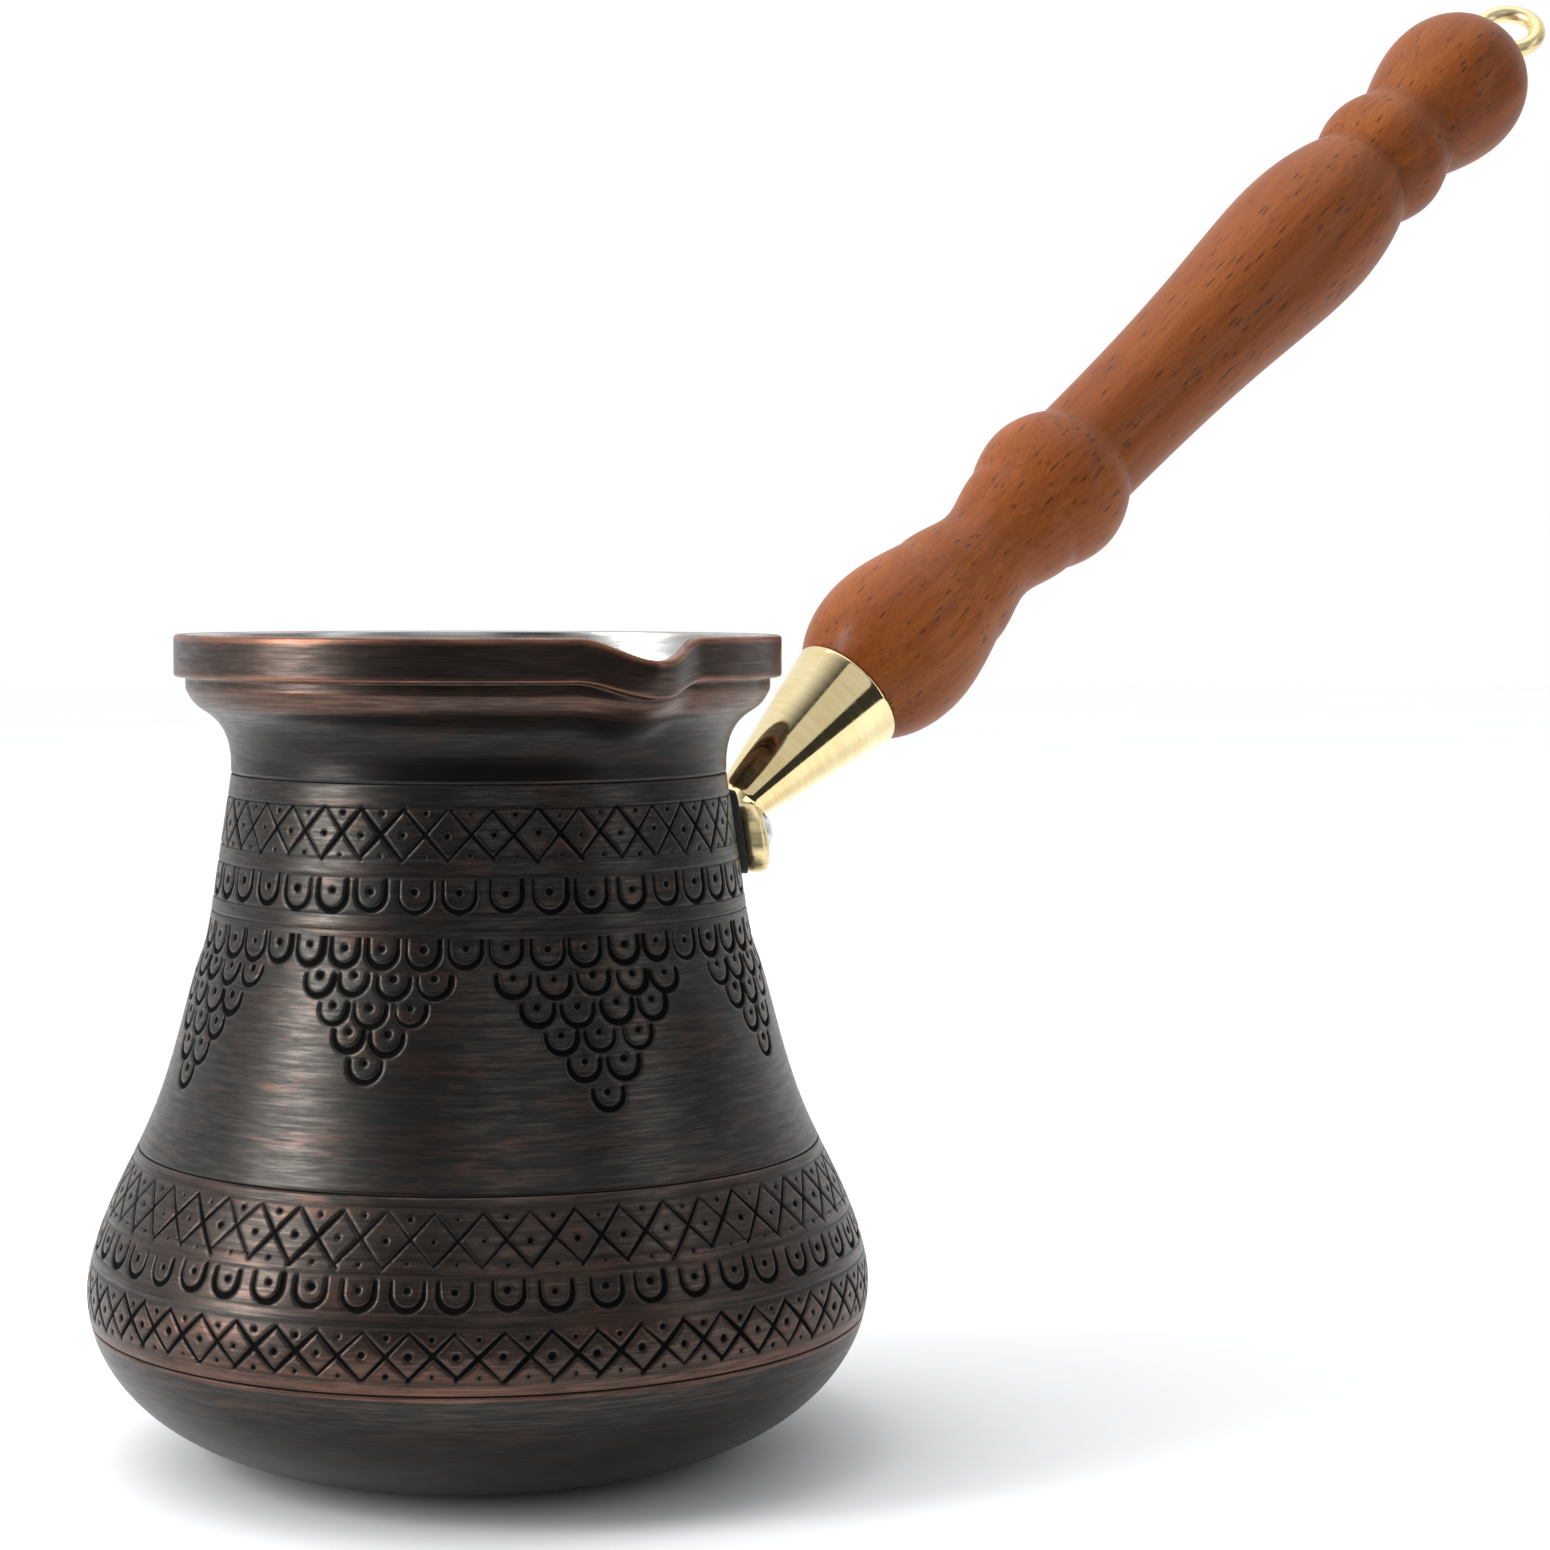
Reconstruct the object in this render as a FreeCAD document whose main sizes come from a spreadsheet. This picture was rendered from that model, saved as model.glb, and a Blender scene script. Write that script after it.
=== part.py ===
import FreeCAD, Part
import math
import os
import Sketcher
from FreeCAD import Placement, Rotation, Vector

# Turkish coffee pot (cezve): a spun copper pot, tinned inside, with a brass bracket
# riveted to its neck and a turned wooden handle with a brass eye.
# Millimetres. +Z is up, the origin is the middle of the base on the floor, the handle
# leans out along +X and the spout pours towards -Y.

SIZES = [
    # pot outline
    ("foot_radius", 18.5, "flat of the base"),
    ("belly_radius", 43.1, "widest part of the belly"),
    ("belly_height", 18.4, "height of the widest part"),
    ("neck_foot_radius", 29.45, "lower end of the straight neck"),
    ("neck_foot_height", 60.0, "height of that end"),
    ("neck_top_radius", 27.3, "upper end of the straight neck"),
    ("neck_top_height", 74.3, "height of that end"),
    ("collar_radius", 32.05, "flared collar under the rim band"),
    ("collar_height", 84.6, "top of the flared collar"),
    ("rim_height", 90.0, "top of the rim band"),
    ("lip_upright", 2.6, "upright part inside the rim"),
    ("band_radius", 33.3, "outside of the rim band"),
    ("band_height", 4.6, "height of the rim band"),
    ("wall", 1.4, "copper thickness"),
    ("tin", 0.3, "tin lining thickness"),
    # spout
    ("spout_half_angle", 13.5, "half the angle that the spout takes of the rim"),
    ("spout_push", 2.9, "how far the lip stands out"),
    ("spout_dip", 2.3, "how far the lip dips"),
    ("spout_root_height", 76.5, "where the pressed channel starts"),
    # bracket
    ("handle_height", 67.75, "height where the handle's axis leaves the saddle"),
    ("saddle_drop", 0.7, "how far the saddle's middle is below that"),
    ("saddle_height", 7.7, "height of the saddle's ears"),
    ("saddle_thickness", 2.8, "thickness of the saddle"),
    ("saddle_half_angle", 31.0, "half the angle that the saddle wraps"),
    ("saddle_corner", 3.3, "rounding of the ears"),
    ("pad_thickness", 0.9, "heat pad thickness"),
    ("pad_margin", 1.6, "how far the pad stands above the saddle"),
    ("pad_side", 1.2, "extra angle of the pad at each end"),
    ("rivet_angle", 20.0, "angle between the handle and each rivet"),
    ("rivet_radius", 1.5, "rivet shank"),
    ("rivet_head_radius", 2.8, "outer head"),
    ("rivet_head_height", 1.6, "outer head's dome"),
    ("rivet_tail_radius", 2.3, "inner head"),
    ("rivet_tail_height", 0.8, "inner head's dome"),
    ("rivet_play", 0.05, "radial play of a shank in its holes"),
    ("tail_gap", 0.15, "room under the inner head for the curved wall"),
    # handle and its socket, along the handle's axis from the saddle's outer face
    ("handle_rise", 38.1, "angle of the handle above level"),
    ("stem_radius", 3.0, "stem at the cone's small end"),
    ("stem_foot_radius", 5.4, "stem where it leaves the saddle"),
    ("stem_length", 4.0, "saddle to the cone's small end"),
    ("cone_length", 20.0, "length of the cone"),
    ("cone_mouth_radius", 7.5, "outside of the cone's mouth"),
    ("cone_wall", 1.1, "wall of the cone"),
    ("socket_floor", 5.0, "solid brass from the small end to the bore"),
    ("tenon_play", 0.05, "play of the tenon in the cone"),
    ("stud_radius", 1.5, "steel stud"),
    ("stud_start", 2.5, "stud's end in the brass"),
    ("stud_length", 36.0, "stud"),
    # turned wood
    ("shoulder_radius", 7.1, "wood at the cone's mouth"),
    ("bulb_radius", 10.2, "bulb next to the cone"),
    ("bulb_length", 19.0, "bulb, from the cone's mouth"),
    ("bulb_end_radius", 8.35, "end of the bulb"),
    ("cove_radius", 6.8, "narrowest part of the cove"),
    ("cove_length", 15.8, "cove between bulb and bead"),
    ("cove_end_radius", 8.3, "lip of the cove"),
    ("bead_radius", 9.8, "bead"),
    ("bead_length", 12.1, "bead"),
    ("grip_start_radius", 7.55, "grip next to the bead"),
    ("grip_radius", 9.85, "thickest part of the grip"),
    ("grip_length", 62.3, "grip"),
    ("grip_end_radius", 7.45, "groove at the grip's end"),
    ("collar_bead_radius", 8.85, "small bead before the knob"),
    ("collar_bead_length", 11.2, "small bead"),
    ("knob_root_radius", 7.4, "groove before the knob"),
    ("knob_radius", 9.95, "knob"),
    ("knob_length", 22.0, "knob"),
    # hanging eye
    ("eye_wire_radius", 1.15, "brass wire"),
    ("eye_ring_radius", 3.95, "middle of the ring's wire"),
    ("eye_stand", 3.4, "ring's middle beyond the knob"),
    ("eye_shank", 17.0, "shank in the wood"),
    ("eye_play", 0.05, "room round the ring where it is sunk in the wood"),
    ("eye_turn", -58.0, "how the ring is turned about the handle's axis"),
]

# The flank from the belly to the neck, and the outside of the collar from the neck to the
# band: share of the height, share of the radius.
FLANK = ((0.09, 0.037), (0.305, 0.293), (0.43, 0.479), (0.6875, 0.744), (0.86, 0.892))
COLLAR = ((0.19, -0.02), (0.54, 0.179), (0.68, 0.455), (0.80, 0.80), (0.92, 0.968))
# The inside sweeps up to the rim with no step: share of the height, share of the radius.
LIP = ((0.17, -0.02), (0.43, 0.14), (0.61, 0.43), (0.80, 0.83))
SPOUT_SECTIONS = 9


class Size:
    """A number together with the spreadsheet expression that gives it."""

    def __init__(self, number, text):
        self.number = number
        self.text = text

    def join(self, sign, other, number):
        return Size(number, "(%s %s %s)" % (self.text, sign, other.text))

    def __add__(self, other):
        other = as_size(other)
        return self.join("+", other, self.number + other.number)

    def __sub__(self, other):
        other = as_size(other)
        return self.join("-", other, self.number - other.number)

    def __mul__(self, other):
        other = as_size(other)
        return self.join("*", other, self.number * other.number)

    def __truediv__(self, other):
        other = as_size(other)
        return self.join("/", other, self.number / other.number)


def as_size(thing):
    if isinstance(thing, Size):
        return thing
    return Size(float(thing), "%.9g" % thing)


def make_sheet(doc):
    sheet = doc.addObject("Spreadsheet::Sheet", "Sizes")
    for row, (alias, value, note) in enumerate(SIZES, start=1):
        sheet.set("A%d" % row, alias)
        sheet.set("B%d" % row, str(value))
        sheet.set("C%d" % row, note)
        sheet.setAlias("B%d" % row, alias)
    doc.recompute()
    return sheet


doc = FreeCAD.newDocument("cezve")
sheet = make_sheet(doc)


def size(alias):
    return Size(float(sheet.get(alias)), "Sizes." + alias)


def bind(thing, prop, value):
    thing.setExpression(prop, as_size(value).text)


# ---- sizes worked out from the sheet ----------------------------------------------------

rim_height = size("rim_height")
band_foot = rim_height - size("band_height")
lip_height = rim_height - size("lip_upright")
saddle_middle = size("handle_height") - size("saddle_drop")
saddle_low = saddle_middle - size("saddle_height") / 2
saddle_high = saddle_middle + size("saddle_height") / 2
pad_high = saddle_high + size("pad_margin")


def neck_radius(height):
    """Outside radius of the straight neck at a height."""
    fall = size("neck_foot_radius") - size("neck_top_radius")
    rise = size("neck_top_height") - size("neck_foot_height")
    return size("neck_foot_radius") - fall * (height - size("neck_foot_height")) / rise


stack = size("saddle_thickness") + size("pad_thickness") + size("wall") + size("tin")
handle_root_x = neck_radius(size("handle_height")) + size("pad_thickness") + size("saddle_thickness")
handle_root_z = size("handle_height")
cone_start = size("stem_length")
cone_end = cone_start + size("cone_length")
bore_start = cone_start + size("socket_floor")
neck_lean = math.degrees(math.atan2(
    size("neck_foot_radius").number - size("neck_top_radius").number,
    size("neck_top_height").number - size("neck_foot_height").number))


def cone_radius(place):
    """Outside radius of the brass cone at a place along the handle's axis."""
    grow = size("cone_mouth_radius") - size("stem_radius")
    return size("stem_radius") + grow * (place - cone_start) / size("cone_length")


# ---- drawing helpers --------------------------------------------------------------------

def plane_of(body, role):
    return [plane for plane in body.Origin.OriginFeatures if plane.Role == role][0]


def new_body(name):
    body = doc.addObject("PartDesign::Body", name)
    body.Label = name
    return body


def new_sketch(body, name, role="XZ_Plane"):
    sketch = body.newObject("Sketcher::SketchObject", name)
    sketch.AttachmentSupport = [(plane_of(body, role), "")]
    sketch.MapMode = "FlatFace"
    return sketch


def hold(sketch, curve, end, x, y):
    """Ties one end of a curve to its place on the sheet."""
    for axis, kind, value in ((-2, "DistanceX", as_size(x)), (-1, "DistanceY", as_size(y))):
        if value.text == "0":
            sketch.addConstraint(Sketcher.Constraint("PointOnObject", curve, end, axis))
        else:
            index = sketch.addConstraint(Sketcher.Constraint(kind, -1, 1, curve, end, value.number))
            sketch.setExpression("Constraints[%d]" % index, value.text)


def flat(x, y):
    return Vector(as_size(x).number, as_size(y).number, 0)


def line_to(x, y):
    return ("line", x, y, None)


def arc_to(middle, x, y):
    return ("arc", x, y, middle)


def curve_to(curve, x, y):
    """A ready made curve that ends at x, y."""
    return ("curve", x, y, curve)


def draw(sketch, start, steps):
    """Draws a closed outline from its start through lines, arcs and curves."""
    here = start
    first = None
    previous = None
    for kind, x, y, extra in steps:
        if kind == "line":
            shape = Part.LineSegment(flat(*here), flat(x, y))
        elif kind == "arc":
            shape = Part.Arc(flat(*here), extra, flat(x, y))
        else:
            shape = extra
        curve = sketch.addGeometry(shape, False)
        begin, finish = ends_of(sketch, curve, here)
        if previous is not None:
            sketch.addConstraint(Sketcher.Constraint("Coincident", previous[0], previous[1], curve, begin))
        else:
            first = (curve, begin)
        hold(sketch, curve, finish, x, y)
        previous = (curve, finish)
        here = (x, y)
    sketch.addConstraint(Sketcher.Constraint("Coincident", previous[0], previous[1], first[0], first[1]))


def ends_of(sketch, curve, here):
    """Which end of the stored curve lies at the place where it begins: an arc may be stored reversed."""
    near = sketch.getPoint(curve, 1).distanceToPoint(flat(*here))
    far = sketch.getPoint(curve, 2).distanceToPoint(flat(*here))
    return (1, 2) if near <= far else (2, 1)


def turn_about(body, sketch, angle=360.0, groove=False, middle=False, axis="V_Axis"):
    kind = "PartDesign::Groove" if groove else "PartDesign::Revolution"
    feature = body.newObject(kind, sketch.Name + "_turned")
    feature.Profile = sketch
    feature.ReferenceAxis = (sketch, [axis])
    feature.Midplane = middle
    if isinstance(angle, Size):
        bind(feature, "Angle", angle)
    else:
        feature.Angle = angle
    sketch.Visibility = False
    doc.recompute()
    return feature


def spline(points, start_way, end_way):
    curve = Part.BSplineCurve()
    curve.interpolate(Points=points, InitialTangent=start_way, FinalTangent=end_way)
    return curve


def along(shape, start, end):
    """Points of an outline from its shares of height and radius, both ends included."""
    rise = (end - start).y
    run = (end - start).x
    middle = [Vector(start.x + run * share, start.y + rise * part, 0) for part, share in shape]
    return [start] + middle + [end]


def inward(points, start_way, end_way, depth):
    """The same points moved square to the curve, towards the pot's axis."""
    curve = spline(points, start_way, end_way)
    moved = []
    for point in points:
        way = curve.tangent(curve.parameter(point))[0]
        moved.append(point + Vector(-way.y, way.x, 0) * depth)
    return moved


# ---- pot and lining ---------------------------------------------------------------------

def wall_points(depth):
    """The pot's outline at a depth below its outside: flank points, flare points, the neck's way."""
    belly = flat(size("belly_radius"), size("belly_height"))
    foot = flat(size("neck_foot_radius"), size("neck_foot_height"))
    top = flat(size("neck_top_radius"), size("neck_top_height"))
    straight = (top - foot).normalize()
    flank = along(FLANK, belly, foot)
    if depth == 0:
        return flank, along(COLLAR, top, flat(size("collar_radius"), size("collar_height"))), straight
    flare = along(LIP, top, flat(size("band_radius"), lip_height))
    up = Vector(0, 1, 0)
    return inward(flank, up, straight, depth), inward(flare, straight, up, depth), straight


def rim_corners(depth):
    """Corners above the flare: the step and band outside, only the rim's top inside."""
    top = (size("band_radius") - depth, rim_height)
    if depth > 0:
        return [top]
    return [(size("collar_radius"), band_foot), (size("band_radius"), band_foot), top]


def foot_arc(depth):
    """Quarter ellipse from the flat of the base to the belly."""
    centre = flat(size("foot_radius"), size("belly_height"))
    reach = size("belly_radius").number - size("foot_radius").number - depth
    drop = size("belly_height").number - depth
    major, minor = (reach, drop) if reach >= drop else (drop, reach)
    ellipse = Part.Ellipse(centre, major, minor)
    if reach >= drop:
        return Part.ArcOfEllipse(ellipse, -math.pi / 2, 0)
    ellipse = Part.Ellipse(centre + Vector(0, -drop, 0), centre + Vector(reach, 0, 0), centre)
    return Part.ArcOfEllipse(ellipse, 0, math.pi / 2)


def side_steps(depth):
    """Outline of one side of the wall, from the middle of the base up to the rim."""
    flank, flare, straight = wall_points(depth)
    up = Vector(0, 1, 0)
    return [
        line_to(size("foot_radius"), depth),
        curve_to(foot_arc(depth), size("belly_radius") - depth, size("belly_height")),
        curve_to(spline(flank, up, straight), flank[-1].x, flank[-1].y),
        line_to(flare[0].x, flare[0].y),
        curve_to(spline(flare, straight, up), flare[-1].x, flare[-1].y),
    ] + [line_to(x, y) for x, y in rim_corners(depth)]


def reversed_steps(start, steps):
    """The same outline walked the other way, back to its start."""
    places = [start] + [(x, y) for kind, x, y, extra in steps]
    back = []
    for number in range(len(steps) - 1, -1, -1):
        kind, extra = steps[number][0], steps[number][3]
        x, y = places[number]
        back.append((kind, x, y, extra))
    return back


def shell_sketch(body, name, outside, inside):
    """Section of a shell between two depths below the pot's outside."""
    sketch = new_sketch(body, name)
    start = (as_size(0), as_size(outside))
    inner_start = (as_size(0), as_size(inside))
    steps = side_steps(outside)
    inner = side_steps(inside)
    steps.append(line_to(inner[-1][1], rim_height))
    steps += reversed_steps(inner_start, inner)
    steps.append(line_to(*start))
    draw(sketch, start, steps)
    return sketch


def spout_move(point, angle):
    """Where a point of the upper wall goes when the spout is pressed out."""
    root = size("spout_root_height").number
    lift = max(0.0, (point.y - root) / (rim_height.number - root))
    ramp = lift * lift * (3 - 2 * lift)
    bell = (1 + math.cos(math.pi * angle / size("spout_half_angle").number)) / 2
    push = size("spout_push").number * bell * ramp
    dip = size("spout_dip").number * bell * ramp
    return Vector(point.x + push, point.y - dip, 0)


def upper_wall(depth):
    """The curved wall above the spout's root at a depth, and the corners above it."""
    flank, flare, straight = wall_points(depth)
    curve = spline(flare, straight, Vector(0, 1, 0))
    curve.segment(parameter_at(curve, size("spout_root_height").number), curve.LastParameter)
    return curve, [flat(x, y) for x, y in rim_corners(depth)]


def parameter_at(curve, height):
    """Where a rising curve passes a height."""
    low, high = curve.FirstParameter, curve.LastParameter
    for _ in range(60):
        middle = (low + high) / 2
        if curve.value(middle).y < height:
            low = middle
        else:
            high = middle
    return low


def add_spout(body, outside, inside):
    """Takes the sector of the plain rim away and puts the pressed spout in its place."""
    reach = size("band_radius") + 5
    root = size("spout_root_height")
    cutter = new_sketch(body, body.Name + "_gap", "YZ_Plane")
    draw(cutter, (as_size(0), root), [
        line_to(as_size(0), rim_height + 5),
        line_to(as_size(0) - reach, rim_height + 5),
        line_to(as_size(0) - reach, root),
        line_to(as_size(0), root),
    ])
    turn_about(body, cutter, size("spout_half_angle") * 2, groove=True, middle=True)
    half = size("spout_half_angle").number
    outer = upper_wall(outside)
    inner = upper_wall(inside)
    sections = []
    for number in range(SPOUT_SECTIONS):
        angle = half * (2.0 * number / (SPOUT_SECTIONS - 1) - 1)
        sketch = new_sketch(body, "%s_section_%d" % (body.Name, number))
        sketch.AttachmentOffset = Placement(Vector(0, 0, 0), Rotation(Vector(0, 1, 0), angle - 90))
        draw_section(sketch, outer, inner, angle)
        sections.append(sketch)
    loft = body.newObject("PartDesign::AdditiveLoft", body.Name + "_spout")
    loft.Profile = sections[0]
    loft.Sections = sections[1:]
    loft.Ruled = False
    doc.recompute()
    return loft


def pressed(curve, angle):
    """A copy of a wall's curve as the spout's pressing leaves it."""
    moved = curve.copy()
    for number, pole in enumerate(curve.getPoles(), start=1):
        moved.setPole(number, spout_move(pole, angle))
    return moved


def draw_section(sketch, outer, inner, angle):
    """One radial cut through the spout: curved wall, step and band, outside and inside."""
    out_curve, out_corners = outer
    in_curve, in_corners = inner
    out_curve = pressed(out_curve, angle)
    in_curve = pressed(in_curve, angle)
    start, bend = out_curve.StartPoint, out_curve.EndPoint
    steps = [curve_to(out_curve, bend.x, bend.y)]
    for corner in out_corners + in_corners[::-1]:
        place = spout_move(corner, angle)
        steps.append(line_to(place.x, place.y))
    steps.append(line_to(in_curve.EndPoint.x, in_curve.EndPoint.y))
    steps.append(curve_to(in_curve, in_curve.StartPoint.x, in_curve.StartPoint.y))
    steps.append(line_to(start.x, start.y))
    draw(sketch, (start.x, start.y), steps)


def radial_place(angle, distance, height):
    """A frame whose Z leaves the neck square to its lean, at an angle from the handle."""
    turn = Rotation(Vector(0, 0, 1), angle)
    lean = Rotation(Vector(0, 1, 0), 90 - neck_lean)
    return Placement(turn.multVec(Vector(distance, 0, height)), turn.multiply(lean))


def rivet_seat():
    """Distance and height where a rivet's axis meets the saddle's outer face."""
    return handle_root_x.number, handle_root_z.number


def drill_rivet_holes(body):
    """Two holes through the neck side of the body for the rivets' shanks."""
    distance, height = rivet_seat()
    for side in (-1, 1):
        hole = body.newObject("PartDesign::SubtractiveCylinder", "%s_hole_%d" % (body.Name, side + 2))
        bind(hole, "Radius", size("rivet_radius") + size("rivet_play"))
        depth = stack * 2
        bind(hole, "Height", depth)
        place = radial_place(side * size("rivet_angle").number, distance, height)
        hole.AttachmentSupport = [(plane_of(body, "XY_Plane"), "")]
        hole.MapMode = "FlatFace"
        hole.AttachmentOffset = place.multiply(Placement(Vector(0, 0, -depth.number * 0.8), Rotation()))
        doc.recompute()


def make_shell(name, outside, inside):
    body = new_body(name)
    sketch = shell_sketch(body, name + "_wall", outside, inside)
    turn_about(body, sketch)
    add_spout(body, outside, inside)
    drill_rivet_holes(body)
    return body


def make_pot_body():
    return make_shell("pot_body", 0.0, size("wall").number)


def make_tin_lining():
    return make_shell("tin_lining", size("wall").number, size("wall").number + size("tin").number)


# ---- bracket ----------------------------------------------------------------------------

def band_sketch(body, name, near, far, low, high):
    """Section of a strip that follows the neck's lean, between two distances from it."""
    sketch = new_sketch(body, name)
    draw(sketch, (neck_radius(low) + near, low), [
        line_to(neck_radius(low) + far, low),
        line_to(neck_radius(high) + far, high),
        line_to(neck_radius(high) + near, high),
        line_to(neck_radius(low) + near, low),
    ])
    return sketch


def corner_edges(shape, half_angle):
    """Names of the short edges that cross the strip's thickness at its two ends."""
    names = []
    for number, edge in enumerate(shape.Edges, start=1):
        if len(edge.Vertexes) != 2:
            continue
        first, last = (vertex.Point for vertex in edge.Vertexes)
        turns = [math.degrees(math.atan2(p.y, p.x)) for p in (first, last)]
        level = abs(first.z - last.z) < 1e-6
        at_end = all(abs(abs(turn) - half_angle) < 1e-3 for turn in turns)
        if level and at_end and turns[0] * turns[1] > 0:
            names.append("Edge%d" % number)
    return names


def round_corners(body, base, half_angle, radius):
    names = corner_edges(base.Shape, half_angle.number)
    fillet = body.newObject("PartDesign::Fillet", body.Name + "_corners")
    fillet.Base = (base, names)
    bind(fillet, "Radius", radius)
    doc.recompute()
    return fillet


def make_heat_pad():
    body = new_body("heat_pad")
    sketch = band_sketch(body, "pad_strip", as_size(0), size("pad_thickness"), saddle_low, pad_high)
    half = size("saddle_half_angle") + size("pad_side")
    strip = turn_about(body, sketch, half * 2, middle=True)
    round_corners(body, strip, half, size("saddle_corner"))
    drill_rivet_holes(body)
    return body


def tilt_sketch(body, name):
    """A sketch whose upright axis is the handle's axis, starting at the saddle's face."""
    sketch = new_sketch(body, name)
    sketch.AttachmentOffset = Placement(flat(handle_root_x, handle_root_z),
                                        Rotation(Vector(0, 0, -1), 90 - size("handle_rise").number))
    bind(sketch, "AttachmentOffset.Base.x", handle_root_x)
    bind(sketch, "AttachmentOffset.Base.y", handle_root_z)
    bind(sketch, "AttachmentOffset.Rotation.Angle", as_size(90) - size("handle_rise"))
    return sketch


def make_handle_socket():
    body = new_body("handle_socket")
    near = size("pad_thickness")
    plate = band_sketch(body, "saddle_plate", near, near + size("saddle_thickness"), saddle_low, saddle_high)
    strip = turn_about(body, plate, size("saddle_half_angle") * 2, middle=True)
    round_corners(body, strip, size("saddle_half_angle"), size("saddle_corner"))
    stem = tilt_sketch(body, "stem_and_cone")
    back = as_size(0) - size("saddle_thickness")
    waist = flat(size("stem_radius") + 0.25, cone_start / 2)
    draw(stem, (as_size(0), back), [
        line_to(size("stem_foot_radius"), back),
        line_to(size("stem_foot_radius"), 0),
        arc_to(waist, size("stem_radius"), cone_start),
        line_to(size("cone_mouth_radius"), cone_end),
        line_to(0, cone_end),
        line_to(as_size(0), back),
    ])
    turn_about(body, stem)
    bore = tilt_sketch(body, "socket_bore")
    start_radius = cone_radius(bore_start) - size("cone_wall")
    draw(bore, (as_size(0), bore_start), [
        line_to(start_radius, bore_start),
        line_to(size("cone_mouth_radius") - size("cone_wall"), cone_end),
        line_to(0, cone_end),
        line_to(as_size(0), bore_start),
    ])
    turn_about(body, bore, groove=True)
    thread = tilt_sketch(body, "stud_hole")
    draw(thread, (as_size(0), size("stud_start")), [
        line_to(size("stud_radius"), size("stud_start")),
        line_to(size("stud_radius"), bore_start),
        line_to(0, bore_start),
        line_to(as_size(0), size("stud_start")),
    ])
    turn_about(body, thread, groove=True)
    trim_inside(body, near)
    drill_rivet_holes(body)
    return body


def trim_inside(body, near):
    """Cuts the stem back to the pad's outer face."""
    low = saddle_low - 6
    high = pad_high + 4
    sketch = new_sketch(body, "pad_side_trim")
    draw(sketch, (as_size(0), low), [
        line_to(neck_radius(low) + near, low),
        line_to(neck_radius(high) + near, high),
        line_to(0, high),
        line_to(as_size(0), low),
    ])
    turn_about(body, sketch, groove=True)


def dome_middle(radius, height, base, way):
    """A point half way along the arc of a round cap that stands on a base."""
    reach, rise = radius.number, height.number
    ball = (reach ** 2 + rise ** 2) / (2 * rise)
    half = math.asin(reach / ball) / 2
    top = as_size(base).number + way * (rise - ball + ball * math.cos(half))
    return Vector(ball * math.sin(half), top, 0)


def make_saddle_rivets():
    """Two rivets, each a turned solid along its own axis, as one group."""
    tail = as_size(0) - stack - size("tail_gap")
    tail_end = tail - size("rivet_tail_height")
    shank = size("rivet_radius")
    dome = dome_middle(size("rivet_head_radius"), size("rivet_head_height"), 0, 1)
    tail_dome = dome_middle(size("rivet_tail_radius"), size("rivet_tail_height"), tail, -1)
    rivets = []
    for side in (-1, 1):
        body = new_body("rivet_%d" % (side + 2))
        sketch = new_sketch(body, body.Name + "_half")
        draw(sketch, (as_size(0), tail_end), [
            arc_to(tail_dome, size("rivet_tail_radius"), tail),
            line_to(shank, tail),
            line_to(shank, 0),
            line_to(size("rivet_head_radius"), 0),
            arc_to(dome, as_size(0), size("rivet_head_height")),
            line_to(as_size(0), tail_end),
        ])
        turn_about(body, sketch)
        distance, height = rivet_seat()
        body.Placement = radial_place(side * size("rivet_angle").number, distance, height)
        rivets.append(body)
    group = doc.addObject("Part::Compound", "saddle_rivets")
    group.Label = "saddle_rivets"
    group.Links = rivets
    doc.recompute()
    return group


# ---- handle -----------------------------------------------------------------------------

def along_handle(body):
    """Puts a body that was drawn upright onto the handle's axis."""
    body.Placement = Placement(Vector(handle_root_x.number, 0, handle_root_z.number),
                               Rotation(Vector(0, 1, 0), 90 - size("handle_rise").number))
    bind(body, "Placement.Base.x", handle_root_x)
    bind(body, "Placement.Base.z", handle_root_z)
    bind(body, "Placement.Rotation.Angle", as_size(90) - size("handle_rise"))


def make_handle_stud():
    body = new_body("handle_stud")
    sketch = new_sketch(body, "stud_half")
    tip = size("stud_radius") * 0.5
    start = size("stud_start")
    end = start + size("stud_length")
    draw(sketch, (as_size(0), start), [
        line_to(size("stud_radius"), start),
        line_to(size("stud_radius"), end - tip),
        line_to(size("stud_radius") - tip, end),
        line_to(0, end),
        line_to(as_size(0), start),
    ])
    turn_about(body, sketch)
    along_handle(body)
    return body


def round_to(stations):
    """A smooth turned curve through a few (radius, place) stations."""
    curve = Part.BSplineCurve()
    curve.interpolate(Points=[flat(radius, place) for radius, place in stations])
    return curve_to(curve, *stations[-1])


def handle_stations():
    """Places along the axis where one turned form meets the next."""
    marks = [cone_end + 0.1]
    for alias in ("bulb_length", "cove_length", "bead_length", "grip_length", "collar_bead_length",
                  "knob_length"):
        marks.append(marks[-1] + size(alias))
    return marks


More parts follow.
